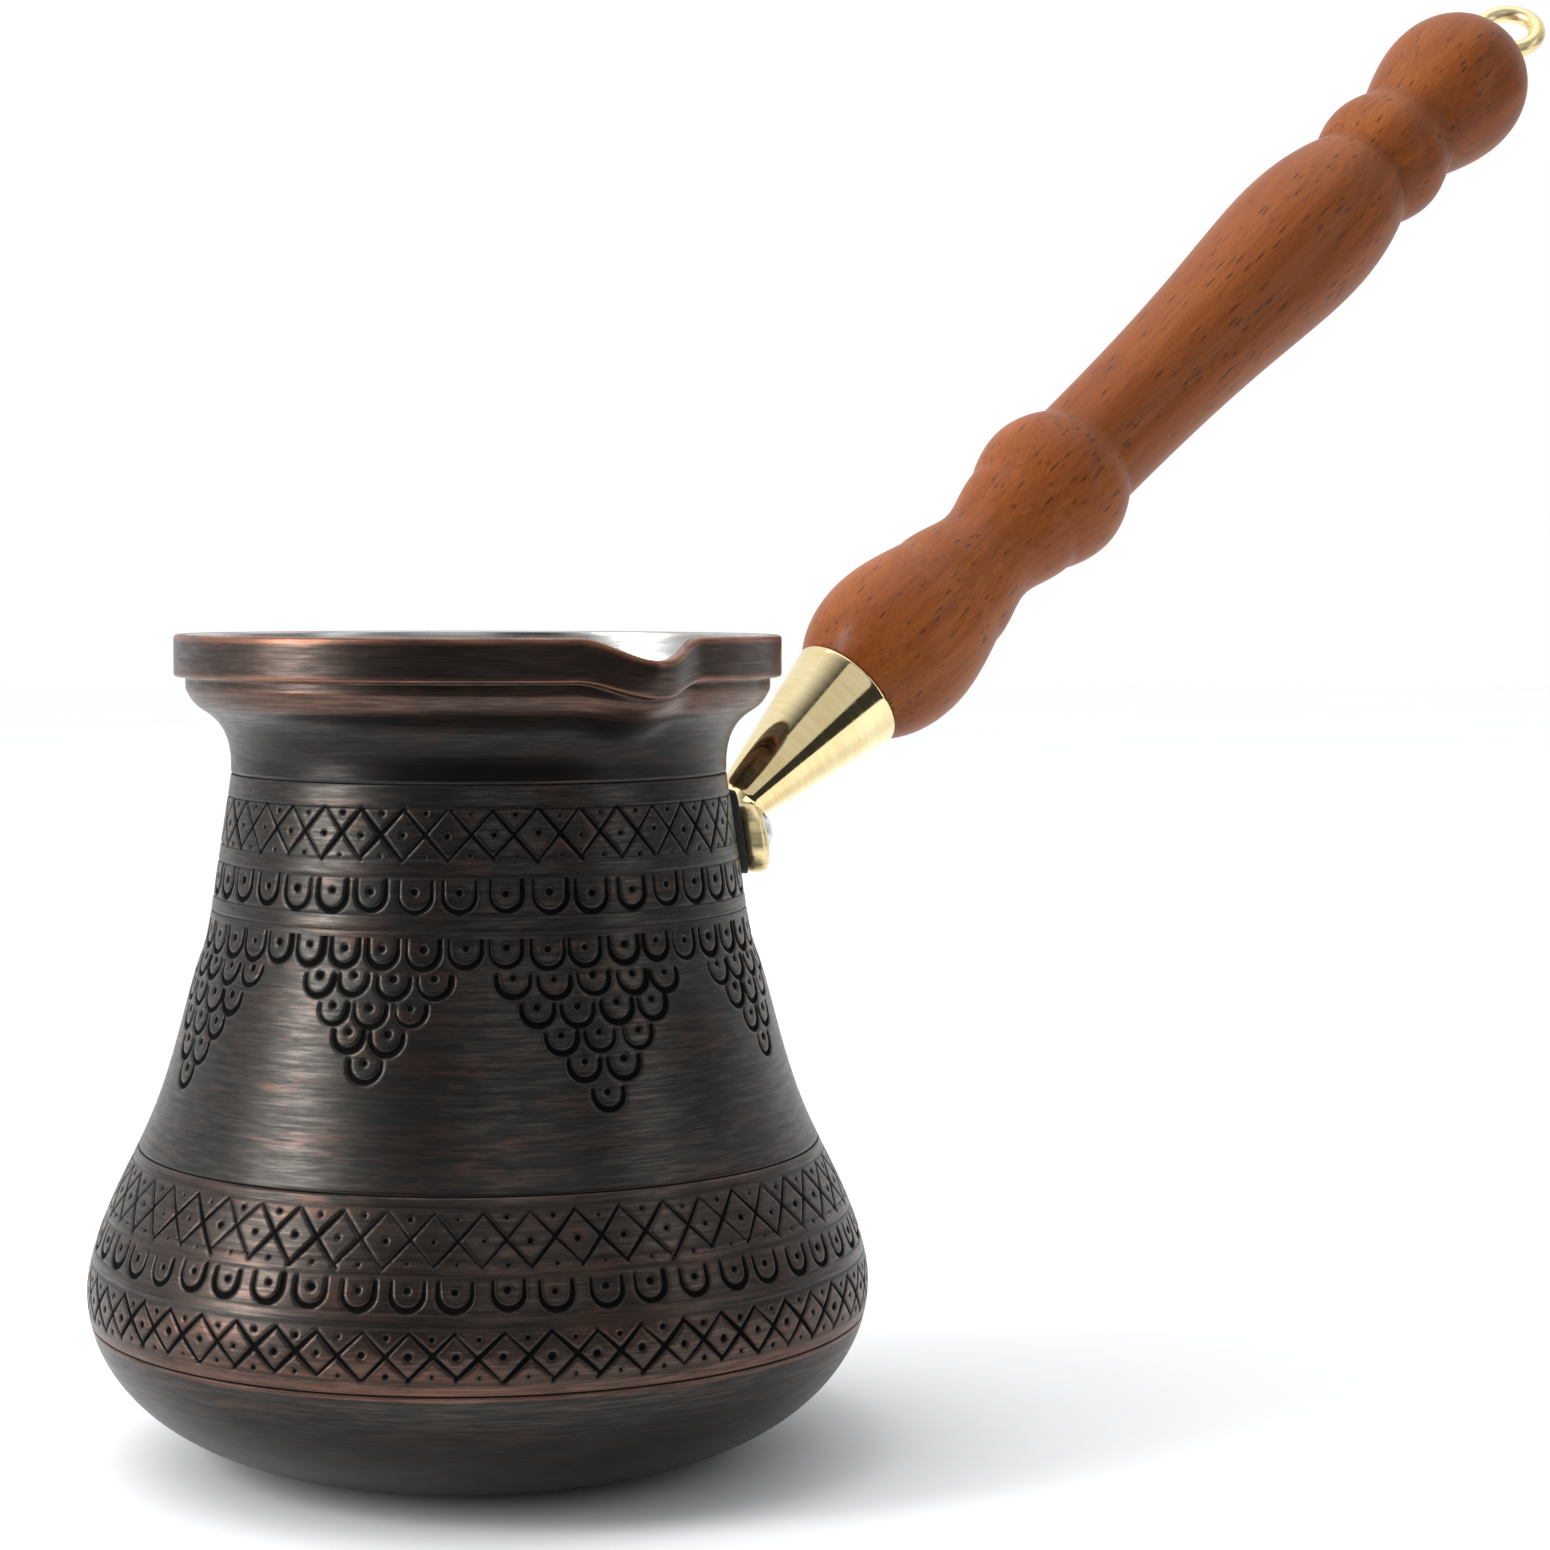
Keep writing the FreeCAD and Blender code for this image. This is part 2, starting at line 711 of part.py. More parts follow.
def make_wooden_handle():
    body = new_body("wooden_handle")
    mouth, bulb, cove, bead, grip, collar, knob = handle_stations()
    play = size("tenon_play")
    tenon_start = bore_start + 0.2
    mouth_bore = size("cone_mouth_radius") - size("cone_wall") - play
    tenon_small = cone_radius(bore_start) - size("cone_wall") - play
    tip_end = knob - 0.25
    sketch = new_sketch(body, "turned_profile")
    draw(sketch, (size("stud_radius"), tenon_start), [
        line_to(tenon_small, tenon_start),
        line_to(mouth_bore, cone_end),
        line_to(mouth_bore, mouth),
        line_to(size("shoulder_radius"), mouth),
        bulb_curve(mouth, bulb),
        cove_curve(bulb, cove),
        bead_curve(cove, bead),
        grip_curve(bead, grip),
        collar_curve(grip, collar),
        knob_curve(collar, tip_end),
        line_to(size("eye_wire_radius"), knob - size("eye_shank")),
        line_to(as_size(0), knob - size("eye_shank")),
        line_to(as_size(0), size("stud_start") + size("stud_length")),
        line_to(size("stud_radius"), size("stud_start") + size("stud_length")),
        line_to(size("stud_radius"), tenon_start),
    ])
    turn_about(body, sketch)
    add_ring(body, "PartDesign::SubtractiveTorus", size("eye_wire_radius") + size("eye_play"))
    along_handle(body)
    return body


def bulb_curve(start, end):
    span = end - start
    return round_to([
        (size("shoulder_radius"), start),
        (size("bulb_radius") - 1.2, start + span * 0.16),
        (size("bulb_radius"), start + span * 0.53),
        (size("bulb_radius") - 0.85, start + span * 0.81),
        (size("bulb_end_radius"), end),
    ])


def cove_curve(start, end):
    span = end - start
    return round_to([
        (size("bulb_end_radius"), start),
        (size("bulb_end_radius") - 0.45, start + span * 0.19),
        (size("cove_radius"), start + span * 0.51),
        (size("cove_end_radius") - 0.45, start + span * 0.82),
        (size("cove_end_radius"), end),
    ])


def bead_curve(start, end):
    span = end - start
    return round_to([
        (size("cove_end_radius"), start),
        (size("bead_radius") - 0.35, start + span * 0.25),
        (size("bead_radius"), start + span * 0.49),
        (size("bead_radius") - 0.6, start + span * 0.74),
        (size("grip_start_radius"), end),
    ])


def grip_curve(start, end):
    span = end - start
    rise = size("grip_radius") - size("grip_start_radius")
    return round_to([
        (size("grip_start_radius"), start),
        (size("grip_start_radius") + rise * 0.06, start + span * 0.16),
        (size("grip_start_radius") + rise * 0.43, start + span * 0.46),
        (size("grip_start_radius") + rise * 0.83, start + span * 0.64),
        (size("grip_radius"), start + span * 0.77),
        (size("grip_radius") - 0.7, start + span * 0.90),
        (size("grip_end_radius"), end),
    ])


def collar_curve(start, end):
    span = end - start
    return round_to([
        (size("grip_end_radius"), start),
        (size("collar_bead_radius") - 0.3, start + span * 0.26),
        (size("collar_bead_radius"), start + span * 0.5),
        (size("collar_bead_radius") - 0.7, start + span * 0.79),
        (size("knob_root_radius"), end),
    ])


def knob_curve(start, end):
    span = end - start
    return round_to([
        (size("knob_root_radius"), start),
        (size("knob_radius") - 1.05, start + span * 0.21),
        (size("knob_radius"), start + span * 0.47),
        (size("knob_radius") - 0.5, start + span * 0.67),
        (size("knob_radius") - 1.8, start + span * 0.80),
        (size("knob_radius") * 0.56, start + span * 0.92),
        (size("eye_wire_radius"), end),
    ])


def add_ring(body, kind, wire):
    """The eye's ring, or the groove for it in the knob's end."""
    ring = handle_stations()[-1] + size("eye_stand")
    torus = body.newObject(kind, body.Name + "_ring")
    bind(torus, "Radius1", size("eye_ring_radius"))
    bind(torus, "Radius2", wire)
    torus.AttachmentSupport = [(plane_of(body, "XY_Plane"), "")]
    torus.MapMode = "FlatFace"
    spin = Rotation(Vector(0, 0, 1), size("eye_turn").number)
    torus.AttachmentOffset = Placement(Vector(0, 0, ring.number), spin.multiply(Rotation(Vector(1, 0, 0), 90)))
    bind(torus, "AttachmentOffset.Base.z", ring)
    doc.recompute()


def make_hanging_eye():
    body = new_body("hanging_eye")
    knob = handle_stations()[-1]
    ring = knob + size("eye_stand")
    wire = size("eye_wire_radius")
    shank = new_sketch(body, "eye_shank_half")
    bottom = knob - size("eye_shank")
    top = ring - size("eye_ring_radius")
    draw(shank, (as_size(0), bottom), [
        line_to(wire, bottom),
        line_to(wire, top),
        line_to(0, top),
        line_to(as_size(0), bottom),
    ])
    turn_about(body, shank)
    add_ring(body, "PartDesign::AdditiveTorus", wire)
    along_handle(body)
    return body


# ---- build, check and write -------------------------------------------------------------

def make_all():
    return [
        make_pot_body(),
        make_tin_lining(),
        make_heat_pad(),
        make_handle_socket(),
        make_saddle_rivets(),
        make_handle_stud(),
        make_wooden_handle(),
        make_hanging_eye(),
    ]


def check_document():
    for thing in doc.Objects:
        bad = [state for state in thing.State if state in ("Invalid", "Error")]
        if bad:
            raise RuntimeError("%s did not build: %s" % (thing.Name, thing.State))


def check_part(part):
    shape = part.Shape
    if shape.isNull() or not shape.isValid():
        raise RuntimeError("%s has no valid shape" % part.Label)
    print("%-14s solids %d  volume %9.1f mm3" % (part.Label, len(shape.Solids), shape.Volume))


parts = make_all()
doc.recompute()
check_document()
os.makedirs("parts", exist_ok=True)
for part in parts:
    check_part(part)
for part in parts:
    part.Shape.exportStep(os.path.join("parts", part.Label + ".step"))
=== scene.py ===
"""Turkish coffee pot (cezve): engraved antiqued copper, tinned inside, with a brass bracket and a
turned beech handle.

Lengths are in millimetres until a mesh is made. Pieces take their outlines from the CAD nodes.
"""
import math
import random

import bpy
import numpy as np
from mathutils import Matrix, Vector


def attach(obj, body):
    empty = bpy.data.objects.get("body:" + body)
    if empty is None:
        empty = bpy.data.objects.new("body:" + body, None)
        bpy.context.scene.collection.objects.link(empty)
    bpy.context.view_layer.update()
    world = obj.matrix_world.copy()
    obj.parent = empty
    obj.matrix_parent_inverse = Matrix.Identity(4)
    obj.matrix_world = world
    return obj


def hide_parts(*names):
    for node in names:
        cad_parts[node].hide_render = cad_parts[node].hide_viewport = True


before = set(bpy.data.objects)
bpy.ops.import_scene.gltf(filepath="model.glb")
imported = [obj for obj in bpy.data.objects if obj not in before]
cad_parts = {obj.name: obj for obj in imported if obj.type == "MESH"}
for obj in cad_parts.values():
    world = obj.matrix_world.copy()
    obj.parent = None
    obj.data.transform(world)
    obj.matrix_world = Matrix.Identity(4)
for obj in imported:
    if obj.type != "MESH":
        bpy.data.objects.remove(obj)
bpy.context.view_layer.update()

MM = 0.001
TURN = 2 * math.pi
hand = random.Random(11)            # the engraver's unsteady hand

# ---- the rim and the spout, as in the CAD ----
RIM = 90.0                          # top of the rim band
WALL = 1.4                          # copper thickness
FOOT_RADIUS = 18.5                  # flat of the base
SPOUT_AZIMUTH = -90.0
SPOUT_HALF = 13.5                   # half the angle that the spout takes
SPOUT_PUSH = 2.9
SPOUT_DIP = 2.3
SPOUT_ROOT = 76.5                   # where the pressed channel starts

# ---- the bracket, as in the CAD ----
HANDLE_HEIGHT = 67.75
HANDLE_RISE = 38.1
SADDLE_MIDDLE = 67.05
SADDLE_HEIGHT = 7.7
SADDLE_THICK = 2.8
SADDLE_HALF = 31.0
SADDLE_CORNER = 3.3
PAD_THICK = 0.9
PAD_TOP = 72.5
PAD_HALF = 32.2
PAD_CORNER = 2.4
PAD_PLAY = 0.02                     # room between the pad and the copper
RIVET_AZIMUTH = 20.0
RIVET_RADIUS = 2.8
RIVET_HEIGHT = 1.6
TAIL_RADIUS = 2.3
TAIL_HEIGHT = 0.8
TAIL_DEPTH = 5.55                   # the inner head's seat, below the saddle's outer face
STEM_RADIUS = 3.0
STEM_FOOT = 5.4                     # radius where the stem leaves the saddle
CONE_START, CONE_END = 4.0, 24.0
MOUTH_WALL = 1.1

# ---- heights of the engraved rings and bands, and of the edges between the copper pieces ----
COLLAR_EDGE = 75.25
NECK_RING = 74.9
LATTICE_1 = (67.25, 72.4)
SCALLOPS_1 = (61.6, 65.4)
CLUSTER_LINE = 60.0
FLANK_EDGE = 59.3
BELLY_RING = 34.3
LATTICE_2 = (28.2, 33.1)
SCALLOPS_2 = (23.4, 26.9)
BELLY_EDGE = 22.7
LATTICE_3 = (16.8, 22.0)
LATTICE_3_STROKES = (17.0, 21.6)
FOOT_RING = 15.3
FOOT_EDGE = 14.7

# ---- the cuts ----
FAR = 0.6                           # a cut's distance is kept up to here
SHOULDER = 0.07                     # a cut's slope starts this far outside its edge
CUT_DEPTH = 0.36
CUT_SLOPE = 0.85
NEAR_RADIUS = 30.0                  # turns the punches' small slips into angles
SCALLOP = 1.72                      # radius of the scallops on the neck and the flank


# ======================================================================================
# outlines read from the CAD nodes
# ======================================================================================

def outline(node, to_local, inside=False, keep=None):
    """(way along the axis, radius) of a turned node, from its faces that look out, or in."""
    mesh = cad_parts[node].data
    found = []
    for face in mesh.polygons:
        middle = to_local @ face.center
        normal = to_local.to_3x3() @ face.normal
        away = Vector((middle.x, middle.y, 0)).normalized()
        facing = normal.dot(away)
        if inside:
            facing = -facing
        if facing < 0.03 or (keep and not keep(middle / MM)):
            continue
        for corner in face.vertices:
            p = (to_local @ mesh.vertices[corner].co) / MM
            found.append((p.z, math.hypot(p.x, p.y)))
    found.sort()
    rows = []
    for z, r in found:
        if rows and z - rows[-1][0] < 0.04 and abs(r - rows[-1][1]) < 0.3:
            continue
        rows.append((z, r))
    return np.array(rows)


def slopes(t, y):
    """Slopes of a smooth curve through points that never overshoots them."""
    step = np.diff(t)
    rise = np.diff(y) / step
    m = np.empty_like(y)
    m[0], m[-1] = rise[0], rise[-1]
    one, two = step[:-1] + 2 * step[1:], 2 * step[:-1] + step[1:]
    same = rise[:-1] * rise[1:] > 0
    first = np.where(same, rise[:-1], 1.0)
    second = np.where(same, rise[1:], 1.0)
    m[1:-1] = np.where(same, (one + two) / (one / first + two / second), 0.0)
    return m


class Outline:
    """A smooth curve through (height, radius) rows, by the way along it."""

    def __init__(self, rows):
        self.z, self.r = rows[:, 0], rows[:, 1]
        chords = np.hypot(np.diff(self.z), np.diff(self.r))
        self.t = np.concatenate([[0.0], np.cumsum(chords)])
        self.mz, self.mr = slopes(self.t, self.z), slopes(self.t, self.r)

    def value(self, y, m, t):
        i = np.clip(np.searchsorted(self.t, t, side="right") - 1, 0, len(self.t) - 2)
        h = self.t[i + 1] - self.t[i]
        u = (t - self.t[i]) / h
        return (y[i] * (1 + 2 * u) * (1 - u) ** 2 + m[i] * h * u * (1 - u) ** 2
                + y[i + 1] * u * u * (3 - 2 * u) + m[i + 1] * h * u * u * (u - 1))

    def at(self, t):
        """Radius and height."""
        t = np.asarray(t, float)
        return self.value(self.r, self.mr, t), self.value(self.z, self.mz, t)

    def way(self, z):
        """The way along the curve at a height."""
        t = np.linspace(0, self.t[-1], 6000)
        return float(np.interp(z, self.at(t)[1], t))

    def steps(self, low, high, step):
        """Places along the curve between two heights, about a step apart."""
        start, end = self.way(low), self.way(high)
        return np.linspace(start, end, max(2, int(math.ceil((end - start) / step)) + 1))


def plain_side(p):
    """Whether a point of the pot is on its back, clear of the spout and the rivet holes."""
    return p.y > 0.65 * math.hypot(p.x, p.y)


# ======================================================================================
# meshes
# ======================================================================================

def make_object(name, verts, faces, material, fields=None, place=None):
    """A mesh from millimetre points, with numbers at its points for its material to read."""
    mesh = bpy.data.meshes.new(name)
    verts = np.asarray(verts, np.float32).reshape(-1, 3) * MM
    mesh.vertices.add(len(verts))
    mesh.vertices.foreach_set("co", verts.ravel())
    sizes = np.array([len(f) for f in faces], np.int32)
    corners = np.concatenate(faces)
    mesh.loops.add(len(corners))
    mesh.loops.foreach_set("vertex_index", np.asarray(corners, np.int32))
    mesh.polygons.add(len(sizes))
    starts = np.concatenate([[0], np.cumsum(sizes)[:-1]])
    mesh.polygons.foreach_set("loop_start", starts.astype(np.int32))
    mesh.update(calc_edges=True)
    mesh.validate()
    mesh.polygons.foreach_set("use_smooth", np.full(len(mesh.polygons), True))
    for field, values in (fields or {}).items():
        layer = mesh.attributes.new(field, "FLOAT", "POINT")
        layer.data.foreach_set("value", np.asarray(values, np.float32).ravel())
    mesh.materials.append(material)
    piece = bpy.data.objects.new(name, mesh)
    bpy.context.scene.collection.objects.link(piece)
    if place is not None:
        piece.matrix_world = place
    bpy.context.view_layer.update()
    return piece


def grid_faces(rows, columns, closed=True, flip=False):
    """Four-cornered faces between the points of a grid, whose last column may join its first."""
    across = columns if closed else columns - 1
    i, j = np.meshgrid(np.arange(rows - 1), np.arange(across), indexing="ij")
    n = (j + 1) % columns
    a, b = i * columns + j, i * columns + n
    c, d = (i + 1) * columns + n, (i + 1) * columns + j
    faces = np.stack([a, b, c, d] if not flip else [a, d, c, b], axis=-1)
    return faces.reshape(-1, 4)


def turned(radius, height, columns):
    """Points of a surface of revolution, row by row."""
    angle = np.arange(columns) * TURN / columns
    r, z = np.asarray(radius)[:, None], np.asarray(height)[:, None]
    return np.stack([r * np.cos(angle), r * np.sin(angle), z + 0 * angle], axis=-1)


def rounded(points, radii, step=0.08):
    """An open path through points, with its corners rounded."""
    path = [Vector(points[0])]
    for before, here, after, radius in zip(points, points[1:], points[2:], radii):
        here, before, after = Vector(here), Vector(before), Vector(after)
        one, two = (before - here).normalized(), (after - here).normalized()
        start, end = here + one * radius, here + two * radius
        count = max(3, int(radius * 1.6 / step))
        for k in range(count + 1):
            t = k / count
            path.append(start * (1 - t) ** 2 + here * 2 * t * (1 - t) + end * t * t)
    path.append(Vector(points[-1]))
    return path


# ======================================================================================
# materials
# ======================================================================================

class Paint:
    """A node material, built a node at a time."""

    def __init__(self, name):
        self.material = bpy.data.materials.new(name)
        self.material.use_nodes = True
        self.tree = self.material.node_tree
        self.tree.nodes.clear()
        self.out = self.tree.nodes.new("ShaderNodeOutputMaterial")
        self.shader = self.tree.nodes.new("ShaderNodeBsdfPrincipled")
        self.tree.links.new(self.shader.outputs[0], self.out.inputs["Surface"])

    def put(self, socket, value):
        if isinstance(value, bpy.types.NodeSocket):
            self.tree.links.new(value, socket)
        elif value is not None:
            socket.default_value = value

    def set(self, **values):
        for name, value in values.items():
            self.put(self.shader.inputs[name.replace("_", " ")], value)

    def math(self, operation, a, b=None, clamp=False):
        node = self.tree.nodes.new("ShaderNodeMath")
        node.operation = operation
        node.use_clamp = clamp
        for socket, value in zip(node.inputs, (a, b)):
            self.put(socket, value)
        return node.outputs[0]

    def times(self, a, b, clamp=False):
        return self.math("MULTIPLY", a, b, clamp=clamp)

    def plus(self, a, b, clamp=False):
        return self.math("ADD", a, b, clamp=clamp)

    def blend(self, a, share_a, b, share_b):
        """A weighted sum of two numbers."""
        return self.plus(self.times(a, share_a), self.times(b, share_b))

    def coordinates(self):
        return self.tree.nodes.new("ShaderNodeTexCoord").outputs["Object"]

    def split(self, vector):
        node = self.tree.nodes.new("ShaderNodeSeparateXYZ")
        self.put(node.inputs[0], vector)
        return node.outputs

    def join(self, x, y, z):
        node = self.tree.nodes.new("ShaderNodeCombineXYZ")
        for socket, value in zip(node.inputs, (x, y, z)):
            self.put(socket, value)
        return node.outputs[0]

    def field(self, name):
        node = self.tree.nodes.new("ShaderNodeAttribute")
        node.attribute_name = name
        return node.outputs["Fac"]

    def noise(self, vector, scale, detail=3.0, rough=0.55, twist=0.0):
        node = self.tree.nodes.new("ShaderNodeTexNoise")
        for name, value in (("Vector", vector), ("Scale", scale), ("Detail", detail),
                            ("Roughness", rough), ("Distortion", twist)):
            self.put(node.inputs[name], value)
        return node.outputs["Fac"]

    def cells(self, vector, scale):
        """The distance to the nearest of many scattered points."""
        node = self.tree.nodes.new("ShaderNodeTexVoronoi")
        self.put(node.inputs["Vector"], vector)
        self.put(node.inputs["Scale"], scale)
        return node.outputs["Distance"]

    def range(self, value, low, high, start=0.0, end=1.0, smooth=False):
        node = self.tree.nodes.new("ShaderNodeMapRange")
        node.interpolation_type = "SMOOTHSTEP" if smooth else "LINEAR"
        for name, number in (("Value", value), ("From Min", low), ("From Max", high),
                             ("To Min", start), ("To Max", end)):
            self.put(node.inputs[name], number)
        return node.outputs[0]

    def ramp(self, value, stops):
        node = self.tree.nodes.new("ShaderNodeValToRGB")
        self.put(node.inputs[0], value)
        while len(node.color_ramp.elements) < len(stops):
            node.color_ramp.elements.new(0.5)
        for element, (place, colour) in zip(node.color_ramp.elements, stops):
            element.position = place
            element.color = (*colour, 1)
        return node.outputs[0]

    def mix(self, share, a, b):
        """Colour a, with a share of colour b."""
        node = self.tree.nodes.new("ShaderNodeMix")
        node.data_type = "RGBA"
        self.put(node.inputs[0], share)
        for socket, value in ((node.inputs[6], a), (node.inputs[7], b)):
            self.put(socket, (*value, 1) if isinstance(value, tuple) else value)
        return node.outputs[2]

    def bump(self, height, strength, distance):
        node = self.tree.nodes.new("ShaderNodeBump")
        self.put(node.inputs["Height"], height)
        self.put(node.inputs["Strength"], strength)
        self.put(node.inputs["Distance"], distance)
        return node.outputs[0]


def around(paint, stretch, rise):
    """Coordinates for marks round the pot: stretched along the turn, fine up the height."""
    x, y, z = paint.split(paint.coordinates())
    reach = paint.math("SQRT", paint.plus(paint.times(x, x), paint.times(y, y)))
    reach = paint.math("MAXIMUM", reach, 1e-5)
    return paint.join(paint.times(paint.math("DIVIDE", x, reach), stretch),
                      paint.times(paint.math("DIVIDE", y, reach), stretch),
                      paint.times(paint.plus(z, paint.times(reach, 0.35)), rise))


def copper_paint():
    """Dark brushed patina, redder where rubbed bare, sooty in the cuts; painted shade darkens the
    neck's recess and the underside of the foot.

    The field cut is the distance to the nearest cut's edge in millimetres. The second field is how
    much bare copper shows, and below nought how much painted shade darkens the colour.
    """
    paint = Paint("antiqued_copper")
    cut = paint.field("cut")
    wear_and_shade = paint.field("wear_and_shade")
    fine = paint.noise(around(paint, 3.2, 4600.0), 1.0, 4.0, 0.6)
    short = paint.noise(around(paint, 8.0, 2300.0), 1.0, 3.0, 0.65, 0.3)
    broad = paint.noise(around(paint, 2.2, 420.0), 1.0, 3.0, 0.6, 0.3)
    cloud = paint.noise(paint.coordinates(), 38.0, 3.0, 0.55)
    strokes = paint.blend(fine, 0.45, short, 0.55)
    base = paint.ramp(strokes, [(0.34, (0.019, 0.018, 0.016)), (0.50, (0.036, 0.033, 0.030)),
                                (0.66, (0.070, 0.062, 0.055))])
    red = paint.range(paint.blend(short, 0.45, broad, 0.55), 0.52, 0.68, 0.0, 0.60)
    tone = paint.mix(red, base, (0.100, 0.048, 0.034))
    show = paint.times(wear_and_shade, paint.range(paint.plus(strokes, cloud), 0.72, 1.25), clamp=True)
    tone = paint.mix(show, tone, (0.42, 0.180, 0.110))
    # painted shade: below nought the field turns the copper near black, in the neck's recess and
    # under the foot
    tone = paint.mix(paint.range(wear_and_shade, -1.0, 0.0, 0.85, 0.0), tone, (0.009, 0.0085, 0.008))
    dark = paint.range(cut, -0.09, 0.07, 1.0, 0.0, smooth=True)
    soot = paint.range(cut, 0.0, 0.42, 0.30, 0.0, smooth=True)
    tone = paint.mix(soot, tone, (0.012, 0.010, 0.009))
    tone = paint.mix(dark, tone, (0.004, 0.0036, 0.0034))
    rough = paint.range(strokes, 0.3, 0.7, 0.40, 0.28)
    rough = paint.plus(rough, paint.times(dark, 0.30), clamp=True)
    metal = paint.range(dark, 0.0, 1.0, 0.88, 0.0)
    marks = paint.blend(fine, 0.6, short, 0.8)
    paint.set(Base_Color=tone, Roughness=rough, Metallic=metal, Anisotropic=0.30,
              Specular_IOR_Level=paint.range(dark, 0.0, 1.0, 0.5, 0.02),
              Normal=paint.bump(marks, 0.22, 0.00005))
    return paint.material


def tin_paint():
    paint = Paint("wiped_tin")
    swirl = paint.noise(around(paint, 5.0, 1900.0), 1.0, 4.0, 0.6)
    cloud = paint.noise(paint.coordinates(), 60.0, 4.0, 0.6)
    tone = paint.ramp(paint.blend(swirl, 0.5, cloud, 0.5),
                      [(0.35, (0.38, 0.375, 0.37)), (0.5, (0.52, 0.515, 0.505)),
                       (0.65, (0.66, 0.655, 0.645))])
    paint.set(Base_Color=tone, Metallic=1.0, Roughness=paint.range(cloud, 0.3, 0.7, 0.22, 0.38),
              Normal=paint.bump(paint.plus(swirl, cloud), 0.25, 0.00008))
    return paint.material


def brass_paint(name, brushed):
    paint = Paint(name)
    where = paint.coordinates()
    cloud = paint.noise(where, 160.0, 3.0, 0.5)
    x, y, z = paint.split(where)
    stretch = 300.0 if brushed else 90.0
    lines = paint.noise(paint.join(paint.times(x, stretch), paint.times(y, stretch),
                                   paint.times(z, 2600.0)), 1.0, 3.0, 0.6)
    tone = paint.ramp(paint.blend(cloud, 0.6, lines, 0.4),
                      [(0.35, (0.76, 0.60, 0.30)), (0.5, (0.84, 0.69, 0.38)),
                       (0.65, (0.90, 0.77, 0.47))])
    low, high = (0.26, 0.42) if brushed else (0.045, 0.12)
    paint.set(Base_Color=tone, Metallic=1.0, Roughness=paint.range(lines, 0.35, 0.65, low, high),
              Normal=paint.bump(lines, 0.5 if brushed else 0.03, 0.00005))
    return paint.material


def rivet_paint():
    paint = Paint("bright_rivet")
    where = paint.coordinates()
    cloud = paint.noise(where, 700.0, 3.0, 0.6)
    pits = paint.cells(where, 900.0)
    tone = paint.ramp(cloud, [(0.35, (0.55, 0.56, 0.58)), (0.65, (0.88, 0.89, 0.91))])
    paint.set(Base_Color=tone, Metallic=1.0, Roughness=paint.range(cloud, 0.3, 0.7, 0.12, 0.30),
              Normal=paint.bump(paint.plus(pits, cloud), 0.5, 0.00015))
    return paint.material


def steel_paint():
    paint = Paint("zinc_steel")
    cloud = paint.noise(paint.coordinates(), 500.0, 4.0, 0.6)
    tone = paint.ramp(cloud, [(0.3, (0.40, 0.41, 0.43)), (0.7, (0.66, 0.67, 0.70))])
    paint.set(Base_Color=tone, Metallic=1.0, Roughness=paint.range(cloud, 0.3, 0.7, 0.3, 0.45),
              Normal=paint.bump(cloud, 0.2, 0.00005))
    return paint.material


def pad_paint():
    paint = Paint("black_fibre")
    where = paint.coordinates()
    fibre = paint.noise(where, 1400.0, 4.0, 0.7)
    cloud = paint.noise(where, 220.0, 3.0, 0.5)
    tone = paint.ramp(paint.blend(fibre, 0.6, cloud, 0.4),
                      [(0.35, (0.006, 0.006, 0.006)), (0.65, (0.028, 0.027, 0.026))])
    paint.set(Base_Color=tone, Roughness=paint.range(fibre, 0.3, 0.7, 0.55, 0.85),
              Normal=paint.bump(fibre, 0.6, 0.0001))
    return paint.material


def wood_paint():
    """Stained beech: its grain runs along the piece's own Z. Its grooves, where the second field is
    1, get painted shade.
    """
    paint = Paint("stained_beech")
    x, y, z = paint.split(paint.coordinates())
    wander = paint.noise(paint.join(x, y, paint.times(z, 0.25)), 55.0, 2.0, 0.5)
    across = paint.plus(x, paint.times(wander, 0.006))
    depth = paint.plus(y, paint.times(wander, 0.004))

    def along(fine_x, fine_y, fine_z):
        return paint.join(paint.times(across, fine_x), paint.times(depth, fine_y),
                          paint.times(z, fine_z))

    rings = paint.noise(along(260.0, 90.0, 9.0), 1.0, 4.0, 0.6)
    fine = paint.noise(along(2400.0, 2400.0, 70.0), 1.0, 3.0, 0.65)
    cloud = paint.noise(paint.join(x, y, z), 32.0, 2.0, 0.5)
    fleck_cells = paint.cells(along(1500.0, 1500.0, 210.0), 1.0)
    patch = paint.noise(paint.join(x, y, z), 420.0, 2.0, 0.5)
    fleck = paint.times(paint.range(fleck_cells, 0.14, 0.34, 1.0, 0.0, smooth=True),
                        paint.range(patch, 0.42, 0.56), clamp=True)
    tone = paint.ramp(paint.blend(rings, 0.6, fine, 0.4),
                      [(0.34, (0.165, 0.040, 0.006)), (0.5, (0.255, 0.067, 0.012)),
                       (0.66, (0.360, 0.108, 0.022))])
    tone = paint.mix(paint.range(cloud, 0.35, 0.65, 0.0, 0.35), tone, (0.190, 0.047, 0.009))
    tone = paint.mix(paint.times(fleck, 0.75), tone, (0.060, 0.016, 0.006))
    # painted shade: the wood is darkened in its grooves
    tone = paint.mix(paint.times(paint.field("wear_and_shade"), 0.30), tone, (0.13, 0.038, 0.014))
    relief = paint.math("SUBTRACT", paint.times(fine, 0.5), fleck)
    paint.set(Base_Color=tone, Roughness=paint.range(fine, 0.3, 0.7, 0.40, 0.54), Coat_Weight=0.10,
              Coat_Roughness=0.22, Specular_IOR_Level=0.16,
              Normal=paint.bump(relief, 0.35, 0.00007))
    return paint.material


